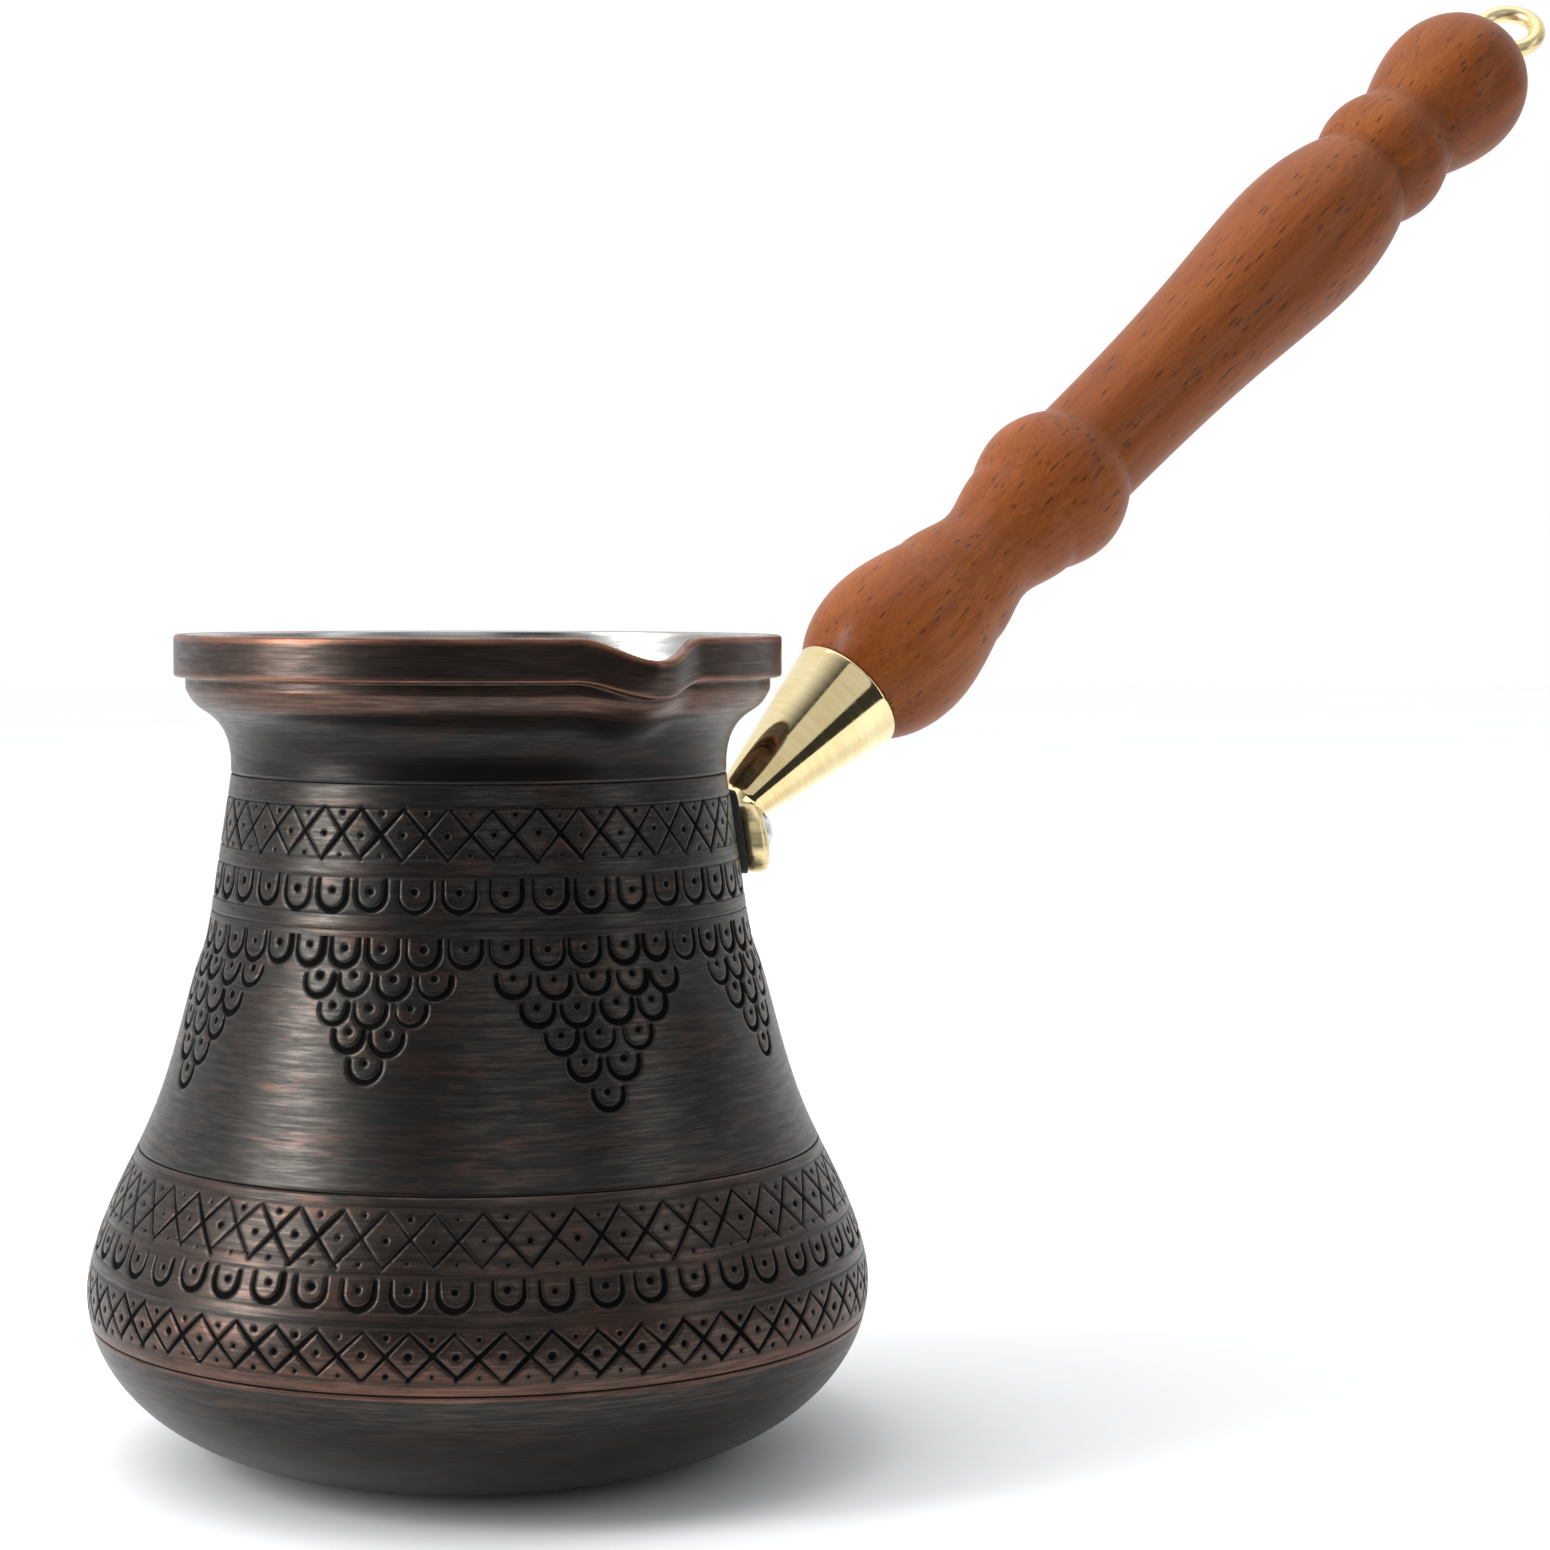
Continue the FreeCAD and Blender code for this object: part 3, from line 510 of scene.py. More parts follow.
def floor_paint():
    paint = Paint("white_table")
    cloud = paint.noise(paint.coordinates(), 6.0, 3.0, 0.5)
    weave = paint.noise(paint.coordinates(), 1600.0, 2.0, 0.5)
    tone = paint.ramp(cloud, [(0.3, (0.870, 0.873, 0.880)), (0.7, (0.890, 0.891, 0.895))])
    paint.set(Base_Color=tone, Roughness=0.75, Specular_IOR_Level=0.2,
              Normal=paint.bump(weave, 0.1, 0.0001))
    return paint.material


COPPER = copper_paint()
TIN = tin_paint()
BRASS = brass_paint("polished_brass", False)
BRUSHED_BRASS = brass_paint("brushed_brass", True)
RIVET = rivet_paint()
STEEL = steel_paint()
PAD = pad_paint()
WOOD = wood_paint()


# ======================================================================================
# the pot's engraved skin
# ======================================================================================

BAND_STEP, BAND_ABOVE = 0.8, 80.0   # the rim band starts at a step out, above this height

wall_rows = outline("pot_body", Matrix.Identity(4), keep=plain_side)
steps_out = (np.diff(wall_rows[:, 1]) > BAND_STEP) & (wall_rows[1:, 0] > BAND_ABOVE)
step_at = int(np.argmax(steps_out)) + 1
BAND_FOOT = float(wall_rows[step_at, 0])
BAND_RADIUS = float(wall_rows[step_at, 1])
COLLAR_RADIUS = float(wall_rows[step_at - 1, 1])
wall = Outline(wall_rows[:step_at])


class Skin:
    """A stretch of the pot's outside, as a grid of angle and way up the wall, with its cuts.

    Azimuths are in radians. The field far holds the distance to the nearest cut's edge.
    """

    def __init__(self, name, low, high, step, columns):
        self.name = name
        self.s = wall.steps(low, high, step)
        self.angle = np.arange(columns) * TURN / columns
        self.far = np.full((len(self.s), columns), FAR)
        self.wear_and_shade = np.zeros((len(self.s), columns))
        self.columns = columns

    def window(self, azimuth, s, reach):
        """Rows, columns and their distances across and up from a place on the wall."""
        radius = float(wall.at(s)[0])
        rows = np.nonzero(np.abs(self.s - s) <= reach)[0]
        middle = azimuth / TURN * self.columns
        spread = reach / radius / TURN * self.columns
        columns = np.arange(math.floor(middle - spread), math.ceil(middle + spread) + 1)
        u = (columns * TURN / self.columns - azimuth) * radius
        v = self.s[rows] - s
        return rows, columns % self.columns, u[None, :], v[:, None]

    def cut(self, rows, columns, distance):
        """Keeps the smaller distance at each of a window's points."""
        if len(rows):
            spot = np.ix_(rows, columns)
            self.far[spot] = np.minimum(self.far[spot], distance)

    def ring(self, height, half):
        distance = np.abs(self.s - wall.way(height)) - half
        self.far = np.minimum(self.far, distance[:, None])

    def dot(self, azimuth, s, radius):
        rows, columns, u, v = self.window(azimuth, s, radius + FAR)
        self.cut(rows, columns, np.hypot(u, v) - radius)

    def stroke(self, azimuth, s, du, dv, half):
        """A straight cut to a place du across and dv up, tapering at both ends."""
        middle = azimuth + du / 2 / float(wall.at(s)[0])
        rows, columns, u, v = self.window(middle, s + dv / 2, math.hypot(du, dv) / 2 + FAR)
        u, v = u + du / 2, v + dv / 2
        share = np.clip((u * du + v * dv) / (du * du + dv * dv), 0, 1)
        width = half * (0.72 + 0.28 * np.sin(math.pi * share))
        self.cut(rows, columns, np.hypot(u - share * du, v - share * dv) - width)

    def scallop(self, azimuth, s, radius, sides, half, heavy):
        """A punched U with a dot: its lower side is cut wider towards the angle heavy."""
        rows, columns, u, v = self.window(azimuth, s, radius + half + sides + FAR)
        lower = np.abs(np.hypot(u, v) - radius)
        upper = np.hypot(np.abs(u) - radius, np.maximum(v - sides, 0))
        width = half * (1 + 0.38 * np.cos(np.arctan2(v, u) - heavy))
        self.cut(rows, columns, np.where(v < 0, lower, upper) - width)
        self.dot(azimuth + unsteady(0.12) / NEAR_RADIUS, s + 0.25 + unsteady(0.12),
                 hand.uniform(0.36, 0.48))

    def points(self):
        """The grid's points, pressed in where it is cut."""
        r, z = wall.at(self.s)
        dr, dz = np.gradient(r, self.s), np.gradient(z, self.s)
        length = np.hypot(dr, dz)
        depth = np.clip(SHOULDER - self.far, 0, CUT_DEPTH) * CUT_SLOPE
        out_r = r[:, None] - depth * (dz / length)[:, None]
        out_z = z[:, None] + depth * (dr / length)[:, None]
        return np.stack([out_r * np.cos(self.angle), out_r * np.sin(self.angle), out_z], axis=-1)

    def build(self):
        piece = make_object(self.name, self.points(), grid_faces(len(self.s), self.columns), COPPER,
                            {"cut": self.far, "wear_and_shade": self.wear_and_shade})
        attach(piece, "root")
        return piece


def unsteady(amount):
    return hand.uniform(-amount, amount)


def lattice(skin, band, count, phase, half, drop=0.0, dots=0.34):
    """Crossed strokes between two heights, with dots in the diamonds and in the half diamonds."""
    low, high = wall.way(band[0]) - drop, wall.way(band[1]) - drop * 0.6
    middle = (low + high) / 2
    radius = float(wall.at(middle)[0])
    pitch = TURN * radius / count
    for k in range(count):
        a = math.radians(phase) + k * TURN / count + unsteady(0.10) / radius
        for way in (1, -1):
            w = half * hand.uniform(0.75, 1.25)
            skin.stroke(a + unsteady(0.10) / radius, high + unsteady(0.15),
                        way * (pitch + unsteady(0.15)), low - high + unsteady(0.25), w)
        skin.dot(a + unsteady(0.12) / radius, middle + unsteady(0.2),
                 dots * hand.uniform(0.7, 1.15))
        between = a + pitch / 2 / radius
        skin.dot(between, high - 0.55 + unsteady(0.15), dots * hand.uniform(0.6, 0.95))
        skin.dot(between, low + 0.35 + unsteady(0.15), dots * hand.uniform(0.5, 0.8))


def scallop_row(skin, height, count, phase, radius, sides, half):
    """A row of scallops all round the pot."""
    s = wall.way(height)
    for k in range(count):
        a = math.radians(phase) + k * TURN / count
        skin.scallop(a + unsteady(0.16) / NEAR_RADIUS, s + unsteady(0.16),
                     radius * hand.uniform(0.93, 1.06), sides, half * hand.uniform(0.85, 1.15),
                     math.radians(hand.uniform(-110, -20)))


def grape_cluster(skin, azimuth, top, rows):
    """Rows of scallops, one fewer in each, down to a single one."""
    pitch, drop, sides, half = 4.3, 2.95, 0.45, 0.27
    s = wall.way(top)
    for row in range(rows):
        count = rows - row
        for k in range(count):
            across = (k - (count - 1) / 2) * pitch
            radius_here = float(wall.at(s - row * drop)[0])
            skin.scallop(math.radians(azimuth) + (across + unsteady(0.18)) / radius_here,
                         s - row * drop + unsteady(0.16), SCALLOP * hand.uniform(0.93, 1.07), sides,
                         half * hand.uniform(0.85, 1.15), math.radians(hand.uniform(-110, -20)))


def wear(skin, rows):
    """Sets how much bare copper a skin shows, from (height, wear) rows."""
    heights, amounts = zip(*rows)
    skin.wear_and_shade[:] = np.interp(wall.at(skin.s)[1], heights, amounts)[:, None]


def engraved_skins():
    """The four engraved pieces. Phases are azimuths in degrees, half widths are in millimetres."""
    neck = Skin("pot_neck", FLANK_EDGE, COLLAR_EDGE, 0.19, 900)
    neck.ring(NECK_RING, 0.13)
    for height in LATTICE_1:
        neck.ring(height, 0.10)
    lattice(neck, LATTICE_1, 38, -127.6, 0.235, dots=0.34)
    neck.ring(SCALLOPS_1[1], 0.11)
    scallop_row(neck, 63.7, 39, -125.0, SCALLOP, 1.5, 0.25)
    neck.ring(SCALLOPS_1[0], 0.10)
    neck.ring(CLUSTER_LINE, 0.10)

    flank = Skin("pot_flank", BELLY_RING, FLANK_EDGE, 0.235, 880)
    scallop_row(flank, 58.0, 44, -132.2, SCALLOP, 1.3, 0.27)
    for k in range(8):
        rows = 4 if k % 3 == 1 else 5
        grape_cluster(flank, -97.65 - 45 * k + unsteady(1.2), 55.1, rows)
    flank.ring(BELLY_RING, 0.12)

    upper = Skin("pot_belly_upper", BELLY_EDGE, BELLY_RING, 0.21, 1240)
    upper.ring(BELLY_RING, 0.12)
    for height in LATTICE_2:
        upper.ring(height, 0.09)
    lattice(upper, LATTICE_2, 51, -127.7, 0.225, drop=0.55, dots=0.35)
    upper.ring(SCALLOPS_2[1], 0.09)
    scallop_row(upper, 25.3, 52, -124.3, 1.62, 1.2, 0.27)
    upper.ring(SCALLOPS_2[0], 0.10)
    wear(upper, [(22.7, 0.08), (24.0, 0.05), (27.0, 0.06), (33.5, 0.03), (34.2, 0.15)])

    lower = Skin("pot_belly_lower", FOOT_EDGE, BELLY_EDGE, 0.21, 1240)
    lower.ring(LATTICE_3[1], 0.10)
    lower.ring(LATTICE_3[0], 0.07)
    lattice(lower, LATTICE_3_STROKES, 57, -124.2, 0.27, dots=0.42)
    lower.ring(FOOT_RING, 0.14)
    wear(lower, [(14.7, 0.08), (15.0, 0.45), (15.6, 0.45), (16.4, 0.18), (18.5, 0.13),
                 (21.5, 0.07), (22.4, 0.0)])
    return [neck.build(), flank.build(), upper.build(), lower.build()]


def plain_skin(name, path, columns, wear_and_shade, press=False):
    """The pot's outside over a path of (radius, height), with no engraving."""
    points = turned([p[0] for p in path], [p[1] for p in path], columns)
    if press:
        points = press_spout(points)
    shape = points.shape[:2]
    fields = {"cut": np.full(shape, FAR), "wear_and_shade": np.broadcast_to(np.array(wear_and_shade)[:, None], shape)}
    piece = make_object(name, points, grid_faces(len(path), columns), COPPER, fields)
    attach(piece, "root")
    return piece


def press_spout(points):
    """Moves the points of the wall out and down where the spout is pressed."""
    r, z = np.hypot(points[..., 0], points[..., 1]), points[..., 2]
    azimuth = np.degrees(np.arctan2(points[..., 1], points[..., 0]))
    off = np.clip(np.abs(azimuth - SPOUT_AZIMUTH) / SPOUT_HALF, 0, 1)
    lift = np.clip((z - SPOUT_ROOT) / (RIM - SPOUT_ROOT), 0, 1)
    amount = (1 + np.cos(math.pi * off)) / 2 * lift * lift * (3 - 2 * lift)
    scale = (r + SPOUT_PUSH * amount) / r
    return np.stack([points[..., 0] * scale, points[..., 1] * scale, z - SPOUT_DIP * amount],
                    axis=-1)


def filled(path, step):
    """A path with points added so that none are more than about a step apart."""
    dense = [path[0]]
    for p in path[1:]:
        last = dense[-1]
        extra = int(math.dist(last, p) / step)
        for k in range(1, extra + 1):
            t = k / (extra + 1)
            dense.append(tuple(a * (1 - t) + b * t for a, b in zip(last, p)))
        dense.append(p)
    return dense


def rim_wear_and_shade(height):
    """How much copper shows at a height of the collar and the rim band; below 82 mm a value under
    nought paints shade on the collar.
    """
    if height < 82.0:
        # painted shade: the collar's recess below 82 mm is darkened
        return -0.8 * min(1.0, (82.0 - height) / 3.0)
    if height < 84.6:
        return 0.22
    if height > RIM - 0.7:
        return 0.75
    edge = 0.06
    if height > BAND_FOOT - 0.2:
        edge = max(edge, 0.55 - 0.5 * abs(height - BAND_FOOT - 0.2) / 0.5)
    return edge


def rim_skin():
    """Flared collar, step, rounded band and the copper part of the rim's top."""
    r, z = wall.at(wall.steps(COLLAR_EDGE, 84.9, 0.22))
    path = list(zip(r, z))
    inner = BAND_RADIUS - WALL
    corners = [(r[-1], z[-1], 0), (COLLAR_RADIUS, BAND_FOOT, 0), (BAND_RADIUS, BAND_FOOT, 0),
               (BAND_RADIUS, RIM, 0), (inner, RIM, 0), (inner, RIM - 0.35, 0)]
    path += [(p[0], p[1]) for p in rounded(corners, (0.25, 0.42, 0.50, 0.20))[1:]]
    path = filled(path, 0.35)
    return plain_skin("pot_rim", path, 900, [rim_wear_and_shade(p[1]) for p in path], press=True)


def foot_skin():
    """From the lowest ring over the rounded foot to the middle of the base, with painted shade
    darkening it towards the base.
    """
    lift, hollow = 0.012, 0.18      # the base is a little hollow
    r, z = wall.at(wall.steps(float(wall.z[0]) + 1e-3, FOOT_EDGE, 0.35))
    path = [(x, lift + hollow * (1 - (x / FOOT_RADIUS) ** 2)) for x in np.linspace(0.05, 17.9, 40)]
    path += list(zip(r, z))
    # painted shade: darker towards the bottom of the foot
    wear_and_shade = np.interp([p[1] for p in path], (0.0, 3.0, 11.0, 14.0), (-0.8, -0.75, -0.6, 0.0))
    return plain_skin("pot_foot", path, 720, wear_and_shade)


for piece in engraved_skins() + [rim_skin(), foot_skin()]:
    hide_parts("pot_body")


def tin_skin():
    """The bright inside, from the middle of the bottom to the rim."""
    columns = 400
    inside = Outline(outline("tin_lining", Matrix.Identity(4), inside=True, keep=plain_side))
    r, z = inside.at(np.linspace(0.0, inside.t[-1], 190))
    path = [(x, z[0]) for x in np.linspace(0.05, r[0] * 0.985, 30)] + list(zip(r, z))
    path = [p for p in path if p[1] < RIM - 0.25]
    path += [(r[-1] + out, RIM - below) for out, below in ((0.02, 0.2), (0.1, 0.06), (0.32, 0.04))]
    points = press_spout(turned([p[0] for p in path], [p[1] for p in path], columns))
    piece = make_object("tin_inside", points, grid_faces(len(path), columns, flip=True), TIN)
    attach(piece, "root")
    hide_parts("tin_lining")
    return piece


tin_skin()


# ======================================================================================
# bracket
# ======================================================================================

rise = math.radians(HANDLE_RISE)
NECK_LOW, NECK_HIGH = 63.0, 72.0    # the neck is straight between these heights
neck_slope = float(wall.at(wall.way(NECK_HIGH))[0] - wall.at(wall.way(NECK_LOW))[0]) \
    / (NECK_HIGH - NECK_LOW)


def neck_at(height):
    """The neck's radius at a height of its straight part."""
    return float(wall.at(wall.way(SADDLE_MIDDLE))[0]) + neck_slope * (height - SADDLE_MIDDLE)


ROOT = Vector((neck_at(HANDLE_HEIGHT) + PAD_THICK + SADDLE_THICK, 0, HANDLE_HEIGHT)) * MM
AXIS = Vector((math.cos(rise), 0, math.sin(rise)))
SIDE = Vector((0, 1, 0))
handle_frame = Matrix.Translation(ROOT) \
    @ Matrix((SIDE.cross(AXIS), SIDE, AXIS)).transposed().to_4x4()
to_handle = handle_frame.inverted()


def plate_outline(half_w, half_h, corner):
    """Points round a rounded rectangle, about 0.7 mm apart."""
    turns = []
    for cx, cy, start in ((1, 1, 0), (-1, 1, 90), (-1, -1, 180), (1, -1, 270)):
        for k in range(17):
            t = math.radians(start + 90 * k / 16)
            turns.append((cx * (half_w - corner) + corner * math.cos(t),
                          cy * (half_h - corner) + corner * math.sin(t)))
    points = []
    for p, q in zip(turns, turns[1:] + turns[:1]):
        n = max(1, int(math.dist(p, q) / 0.7))
        points += [(p[0] + (q[0] - p[0]) * i / n, p[1] + (q[1] - p[1]) * i / n)
                   for i in range(n)]
    return points


def bent_plate(name, material, low, high, half_angle, corner, lift, thick, near_edge, far_edge):
    """A plate bent round the neck between two heights, a lift outside it.

    near_edge and far_edge are the roundings of its edges next to the neck and away from it.
    """
    middle = (low + high) / 2
    radius = neck_at(middle) + lift
    half_w, half_h = math.radians(half_angle) * radius, (high - low) / 2
    border = plate_outline(half_w, half_h, corner)
    turns = [math.pi / 2 * k / 8 for k in range(9)]
    layers = [(near_edge * (1 - math.cos(t)), near_edge * (1 - math.sin(t))) for t in turns]
    layers += [(thick - far_edge + far_edge * math.sin(t), far_edge * (1 - math.cos(t)))
               for t in turns]
    rows = [[(x * (half_w - inset) / half_w, y * (half_h - inset) / half_h, out) for x, y in border]
            for out, inset in layers]
    for share in (0.94, 0.8, 0.6, 0.35, 0.12):
        rows.append([(x * share, y * share, thick) for x, y, out in rows[len(layers) - 1]])
    rows += [[(0.0, 0.0, thick)], [(0.0, 0.0, 0.0)]]
    verts = []
    for x, y, out in (p for row in rows for p in row):
        z = middle + y
        r = neck_at(z) + lift + out
        verts.append((r * math.cos(x / radius), r * math.sin(x / radius), z))
    count = len(border)
    faces = [tuple(f) for f in grid_faces(len(rows) - 2, count)]
    last, front, back = (len(rows) - 3) * count, len(verts) - 2, len(verts) - 1
    faces += [(last + j, last + (j + 1) % count, front) for j in range(count)]
    faces += [((j + 1) % count, j, back) for j in range(count)]
    piece = make_object(name, verts, faces, material)
    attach(piece, "root")
    return piece


SADDLE_LOW, SADDLE_TOP = SADDLE_MIDDLE - SADDLE_HEIGHT / 2, SADDLE_MIDDLE + SADDLE_HEIGHT / 2

saddle = bent_plate("saddle_plate", BRUSHED_BRASS, SADDLE_LOW, SADDLE_TOP, SADDLE_HALF,
                    SADDLE_CORNER, PAD_THICK, SADDLE_THICK, 0.9, 1.15)
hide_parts("handle_socket")
pad = bent_plate("heat_pad_fibre", PAD, SADDLE_LOW, PAD_TOP, PAD_HALF, PAD_CORNER, PAD_PLAY,
                 PAD_THICK - 0.03, 0.05, 0.12)
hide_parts("heat_pad")


def lathe(name, path, material, node, wear_and_shade):
    """A piece turned about the handle's axis from (radius, way) points."""
    columns = 160
    points = turned([p[0] for p in path], [p[1] for p in path], columns)
    piece = make_object(name, points, grid_faces(len(path), columns), material,
                        {"wear_and_shade": np.repeat(wear_and_shade, columns)}, place=handle_frame)
    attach(piece, "root")
    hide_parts(node)
    return piece


def socket_path():
    """Stem growing out of the saddle, cone, rolled mouth and the first of its inside."""
    rows = outline("handle_socket", to_handle,
                   keep=lambda p: 1.4 < p.z < 30 and math.hypot(p.x, p.y) < 7.6)
    mouth = float(rows[-1, 1])
    path = [(STEM_FOOT, -1.2), (STEM_FOOT, -0.6)]
    for k in range(17):
        t = k / 16
        flare = (STEM_FOOT - STEM_RADIUS) * (1 - t) ** 2.6
        path.append((STEM_RADIUS + 0.5 * t * (1 - t) + flare, CONE_START * t))
    tail = rounded([(STEM_RADIUS, CONE_START, 0), (mouth, CONE_END, 0), (mouth - 1.0, CONE_END, 0),
                    (mouth - MOUTH_WALL, CONE_END - 1.0, 0)], (0.35, 0.2))
    for k in range(1, 40):
        p = tail[0].lerp(tail[1], k / 40)
        path.append((p[0], p[1]))
    return path + [(p[0], p[1]) for p in tail[1:]]


def wood_path():
    """The handle's outline from the cone's mouth to the knob's end, its sharp edges eased."""
    step, ease, reach = 0.33, 0.30, 6
    shape = Outline(outline("wooden_handle", to_handle, keep=lambda p: p.z > CONE_END - 0.4))
    s = np.append(np.arange(0.0, shape.t[-1], step), shape.t[-1])
    r, z = shape.at(s)
    soft = np.exp(-0.5 * (np.arange(-reach, reach + 1) * step / ease) ** 2)
    eased = np.convolve(np.pad(r, reach, mode="edge"), soft / soft.sum(), mode="valid")
    keep = (z > z[0] + 2.5) & (z < z[-1] - 4.0)
    return list(zip(np.where(keep, eased, r), z))


def grooves(path):
    """1 where a turned path is in a groove, 0 where it isn't."""
    reach, full = 6, 0.55           # neighbours looked at, and the depth of a full groove
    radii = [p[0] for p in path]
    valley = np.zeros(len(path))
    for k in range(reach, len(path) - reach):
        deep = min(radii[k - reach], radii[k + reach]) - radii[k]
        valley[k] = min(1.0, max(0.0, deep / full))
    return valley


cone, wood = socket_path(), wood_path()
lathe("brass_cone", cone, BRASS, "handle_socket", np.zeros(len(cone)))
# the groove depth drives the painted shade in the wood's colour
lathe("turned_wood", wood, WOOD, "wooden_handle", grooves(wood))


def dome(radius, height, dents):
    """Points and faces of a round cap on Z = 0, pressed in at the dents."""
    rings, columns = 22, 72
    sphere = (radius ** 2 + height ** 2) / (2 * height)
    verts = []
    for i in range(rings):
        flat = radius * (1 - i / rings)
        rise_here = math.sqrt(max(sphere ** 2 - flat ** 2, 0)) - (sphere - height)
        for j in range(columns):
            a = j * TURN / columns
            x, y = flat * math.cos(a), flat * math.sin(a)
            dent = sum(depth * math.exp(-2 * ((x - cx) ** 2 + (y - cy) ** 2) / width ** 2)
                       for cx, cy, width, depth in dents)
            verts.append((x, y, rise_here - dent * min(1.0, rise_here / 0.4) if i else -0.25))
    verts.append((0, 0, height - 0.05))
    faces = [tuple(f) for f in grid_faces(rings, columns)]
    last = (rings - 1) * columns
    faces += [(last + j, last + (j + 1) % columns, len(verts) - 1) for j in range(columns)]
    faces.append(tuple(range(columns - 1, -1, -1)))
    return verts, faces


def hammer_marks(seed):
    """Dents of a dome: (x, y, width, depth)."""
    marks = random.Random(seed)
    spots = []
    for _ in range(10):
        a, reach = marks.uniform(0, TURN), marks.uniform(0.3, 2.3)
        spots.append((reach * math.cos(a), reach * math.sin(a), marks.uniform(0.7, 1.2),
                      marks.uniform(0.06, 0.17)))
    return spots


def rivet_head(name, azimuth, seat, way, radius, height, dents):
    """A rivet's head on the saddle (way 1) or inside the pot (way -1), square to the wall."""
    a = math.radians(azimuth)
    lean = math.atan(-neck_slope)
    out = Vector((math.cos(a) * math.cos(lean), math.sin(a) * math.cos(lean), math.sin(lean)))
    side = Vector((-math.sin(a), math.cos(a), 0))
    axis = out * way
    reach = ROOT.x / MM
    middle = Vector((reach * math.cos(a), reach * math.sin(a), HANDLE_HEIGHT))
    place = Matrix.Translation((middle + out * seat) * MM) \
        @ Matrix((side, axis.cross(side), axis)).transposed().to_4x4()
    verts, faces = dome(radius, height, dents)
    piece = make_object(name, verts, faces, RIVET, place=place)
    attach(piece, "root")
    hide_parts("saddle_rivets")


for label, azimuth in (("left", RIVET_AZIMUTH), ("right", -RIVET_AZIMUTH)):
    rivet_head("rivet_dome_" + label, azimuth, 0.0, 1, RIVET_RADIUS, RIVET_HEIGHT,
               hammer_marks(40 + int(azimuth)))
    rivet_head("rivet_tail_" + label, azimuth, -TAIL_DEPTH, -1, TAIL_RADIUS, TAIL_HEIGHT, [])


# ======================================================================================
# materials of the CAD nodes, of which the stud and the eye are shown as they are
# ======================================================================================

NODE_PAINTS = {"handle_stud": STEEL, "hanging_eye": BRUSHED_BRASS, "pot_body": COPPER,
               "tin_lining": TIN, "handle_socket": BRASS, "heat_pad": PAD, "saddle_rivets": RIVET,
               "wooden_handle": WOOD}
for name, material in NODE_PAINTS.items():
    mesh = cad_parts[name].data
    mesh.materials.clear()
    mesh.materials.append(material)
for name in ("handle_stud", "hanging_eye"):
    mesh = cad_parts[name].data
    mesh.polygons.foreach_set("use_smooth", [True] * len(mesh.polygons))


# ======================================================================================
# room, lights and camera
# ======================================================================================

VIEW_AZIMUTH = math.radians(-30.8)  # the camera's own frame, turned about the pot's axis


def in_view(right, away, up):
    """A place given as seen from the camera: right, away and up, in metres."""
    c, s = math.cos(VIEW_AZIMUTH), math.sin(VIEW_AZIMUTH)
    return Vector((c * right - s * away, s * right + c * away, up))


def make_floor():
    """A wide white table top, whose near edge is a little in front of the pot."""
    near, far, side, cells = -0.17, 3.0, 3.0, 48
    verts = []
    for i in range(cells + 1):
        away = near + (far - near) * (i / cells) ** 2
        for j in range(cells + 1):
            right = side * math.copysign(abs(2 * j / cells - 1) ** 2, 2 * j / cells - 1)
            verts.append(in_view(right, away, -0.00005) / MM)
    faces = grid_faces(cells + 1, cells + 1, closed=False)
    make_object("floor", verts, faces, floor_paint())


def make_world():
    """A plain white room as seen. As a light it is bright behind and above, dim in front."""
    world = bpy.data.worlds.new("studio")
    bpy.context.scene.world = world
    world.use_nodes = True
    tree = world.node_tree
    tree.nodes.clear()
    put, link = tree.nodes.new, tree.links.new
    dot = put("ShaderNodeVectorMath")
    dot.operation = "DOT_PRODUCT"
    link(put("ShaderNodeTexCoord").outputs["Generated"], dot.inputs[0])
    dot.inputs[1].default_value = in_view(0.0, 1.0, 0.9)
    share = put("ShaderNodeMapRange")
    share.interpolation_type = "SMOOTHSTEP"
    link(dot.outputs["Value"], share.inputs["Value"])
    for name, number in (("From Min", -0.15), ("From Max", 1.00),
                         ("To Min", 0.04), ("To Max", 1.08)):
        share.inputs[name].default_value = number
    lit = put("ShaderNodeBackground")
    lit.inputs[0].default_value = (0.97, 0.985, 1.0, 1)
    link(share.outputs[0], lit.inputs[1])
    seen = put("ShaderNodeBackground")
    seen.inputs[0].default_value = (1.0, 1.0, 1.0, 1)
    mix = put("ShaderNodeMixShader")
    link(put("ShaderNodeLightPath").outputs["Is Camera Ray"], mix.inputs[0])
    link(lit.outputs[0], mix.inputs[1])
    link(seen.outputs[0], mix.inputs[2])
    link(mix.outputs[0], put("ShaderNodeOutputWorld").inputs[0])


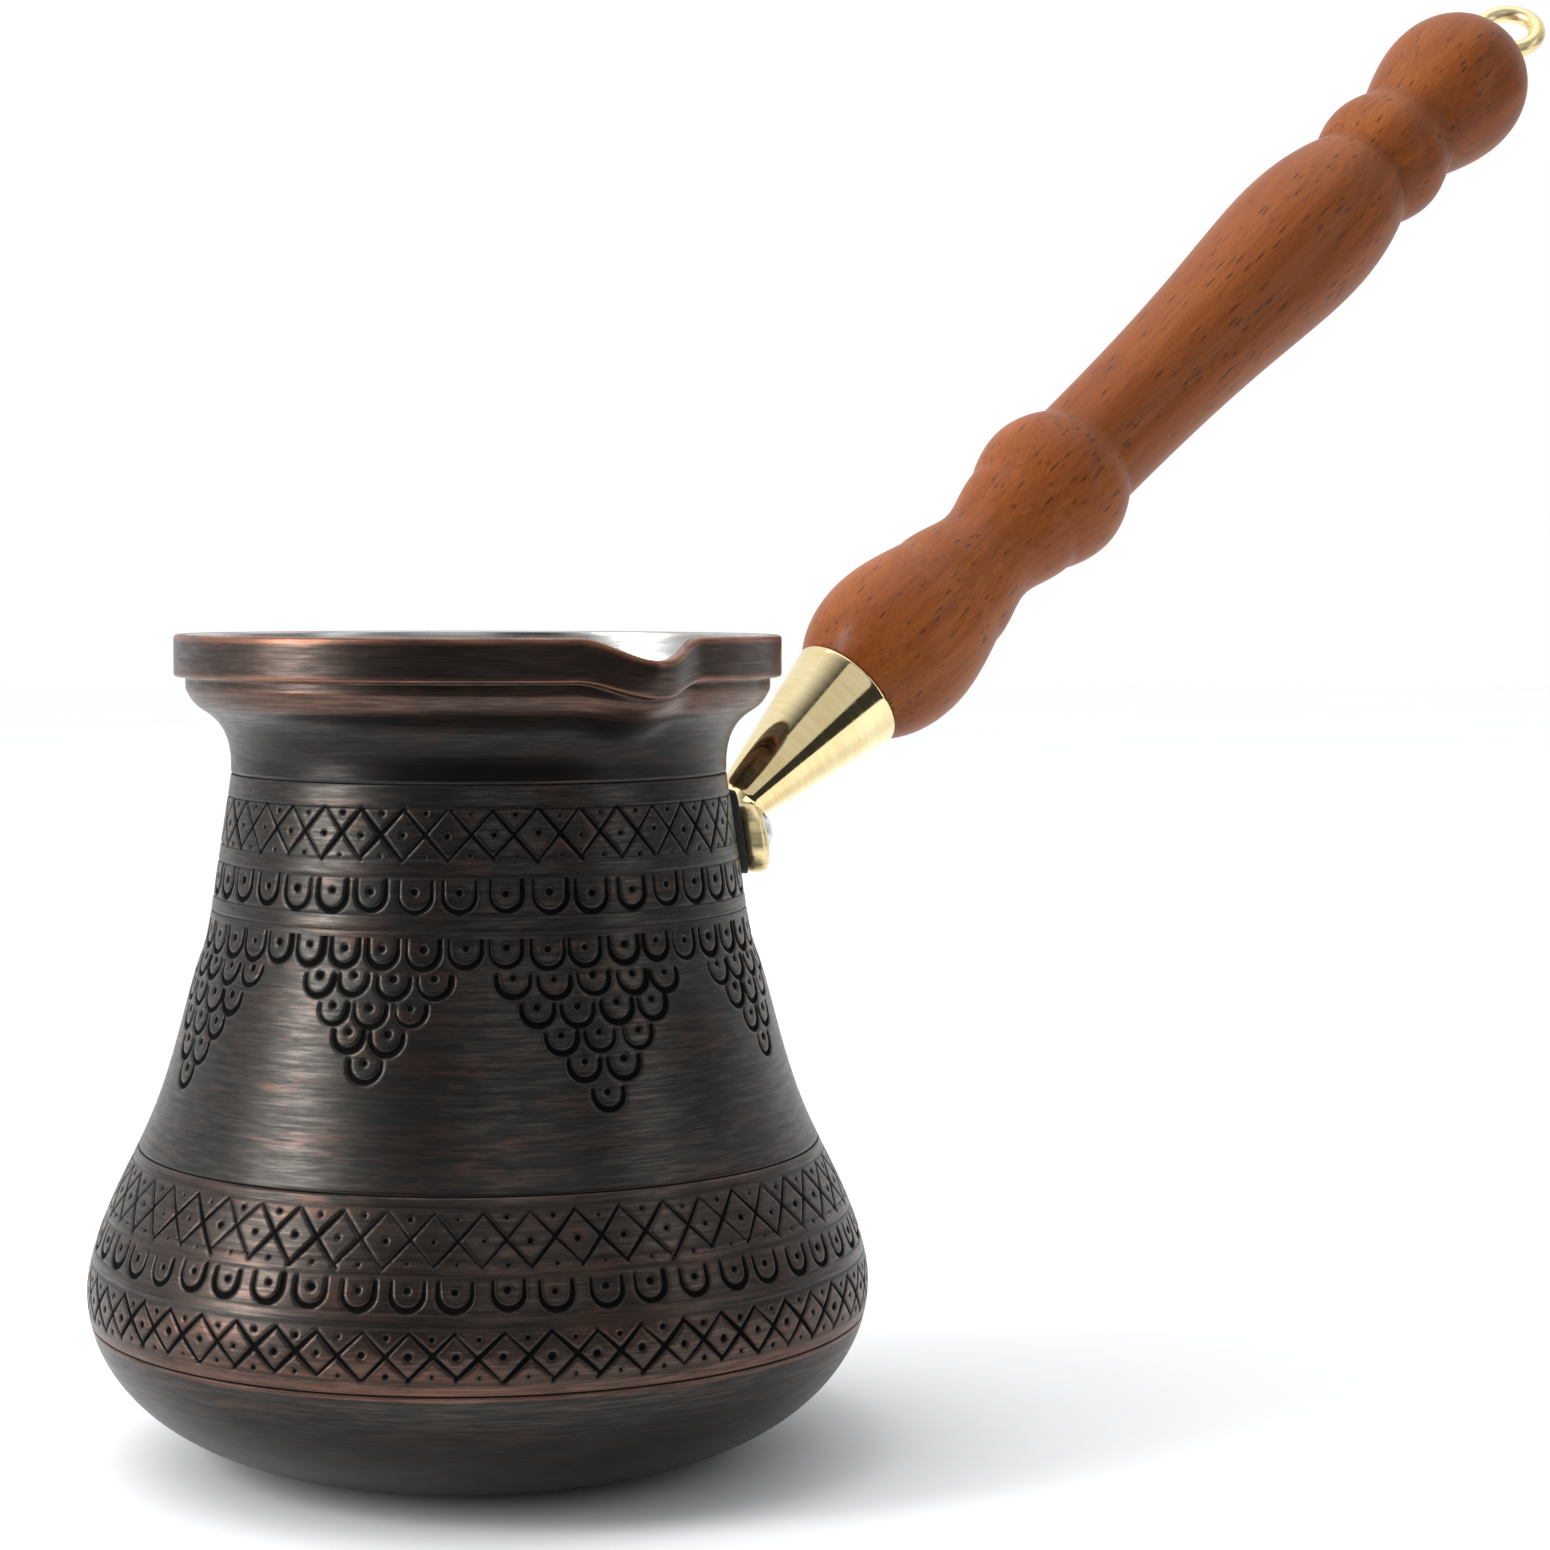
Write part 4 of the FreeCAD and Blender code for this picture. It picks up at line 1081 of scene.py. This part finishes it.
def sun(name, toward, strength, angle):
    """A broad sun that lights but is not mirrored."""
    data = bpy.data.lights.new(name, "SUN")
    data.energy = strength
    data.angle = math.radians(angle)
    light = bpy.data.objects.new(name, data)
    bpy.context.scene.collection.objects.link(light)
    light.rotation_euler = toward.to_track_quat("-Z", "Y").to_euler()
    light.visible_glossy = False


def soft_box(name, place, aim, width, height, watts):
    data = bpy.data.lights.new(name, "AREA")
    data.shape = "RECTANGLE"
    data.size, data.size_y = width, height
    data.energy = watts
    light = bpy.data.objects.new(name, data)
    bpy.context.scene.collection.objects.link(light)
    light.location = place
    light.rotation_euler = (aim - place).to_track_quat("-Z", "Y").to_euler()


def make_camera():
    """The photograph's camera: metres from the pot's axis and above the table, and its aim."""
    distance, height = 0.3609, 0.0945
    pitch, yaw, roll = (math.radians(a) for a in (3.186, 5.182, 0.134))
    forward = in_view(math.sin(yaw) * math.cos(pitch), math.cos(yaw) * math.cos(pitch),
                      -math.sin(pitch))
    right = in_view(math.cos(yaw), -math.sin(yaw), 0.0)
    up = right.cross(forward)
    across = right * math.cos(roll) + up * math.sin(roll)
    over = up * math.cos(roll) - right * math.sin(roll)
    data = bpy.data.cameras.new("camera")
    data.sensor_width = 36.0
    data.lens = 75.57
    data.clip_start = 0.01
    camera = bpy.data.objects.new("camera", data)
    bpy.context.scene.collection.objects.link(camera)
    camera.matrix_world = Matrix.Translation(in_view(0, -distance, height)) \
        @ Matrix((across, over, -forward)).transposed().to_4x4()
    bpy.context.scene.camera = camera


make_floor()
make_world()
middle = Vector((0.03, 0, 0.06))
soft_box("left_strip", in_view(-0.76, -0.26, 0.32), middle, 0.20, 0.75, 7.2)
soft_box("right_strip", in_view(0.72, -0.35, 0.30), middle, 0.20, 0.70, 0.9)
soft_box("top", in_view(0.0, 0.05, 0.95), middle, 0.8, 0.8, 1.2)
soft_box("front_right", in_view(0.20, -0.80, 0.52), middle, 0.64, 0.84, 1.15)
sun("back_sun", in_view(0.60, 0.02, -1.0), 1.55, 60.0)
make_camera()
bpy.context.scene.view_settings.view_transform = "Standard"
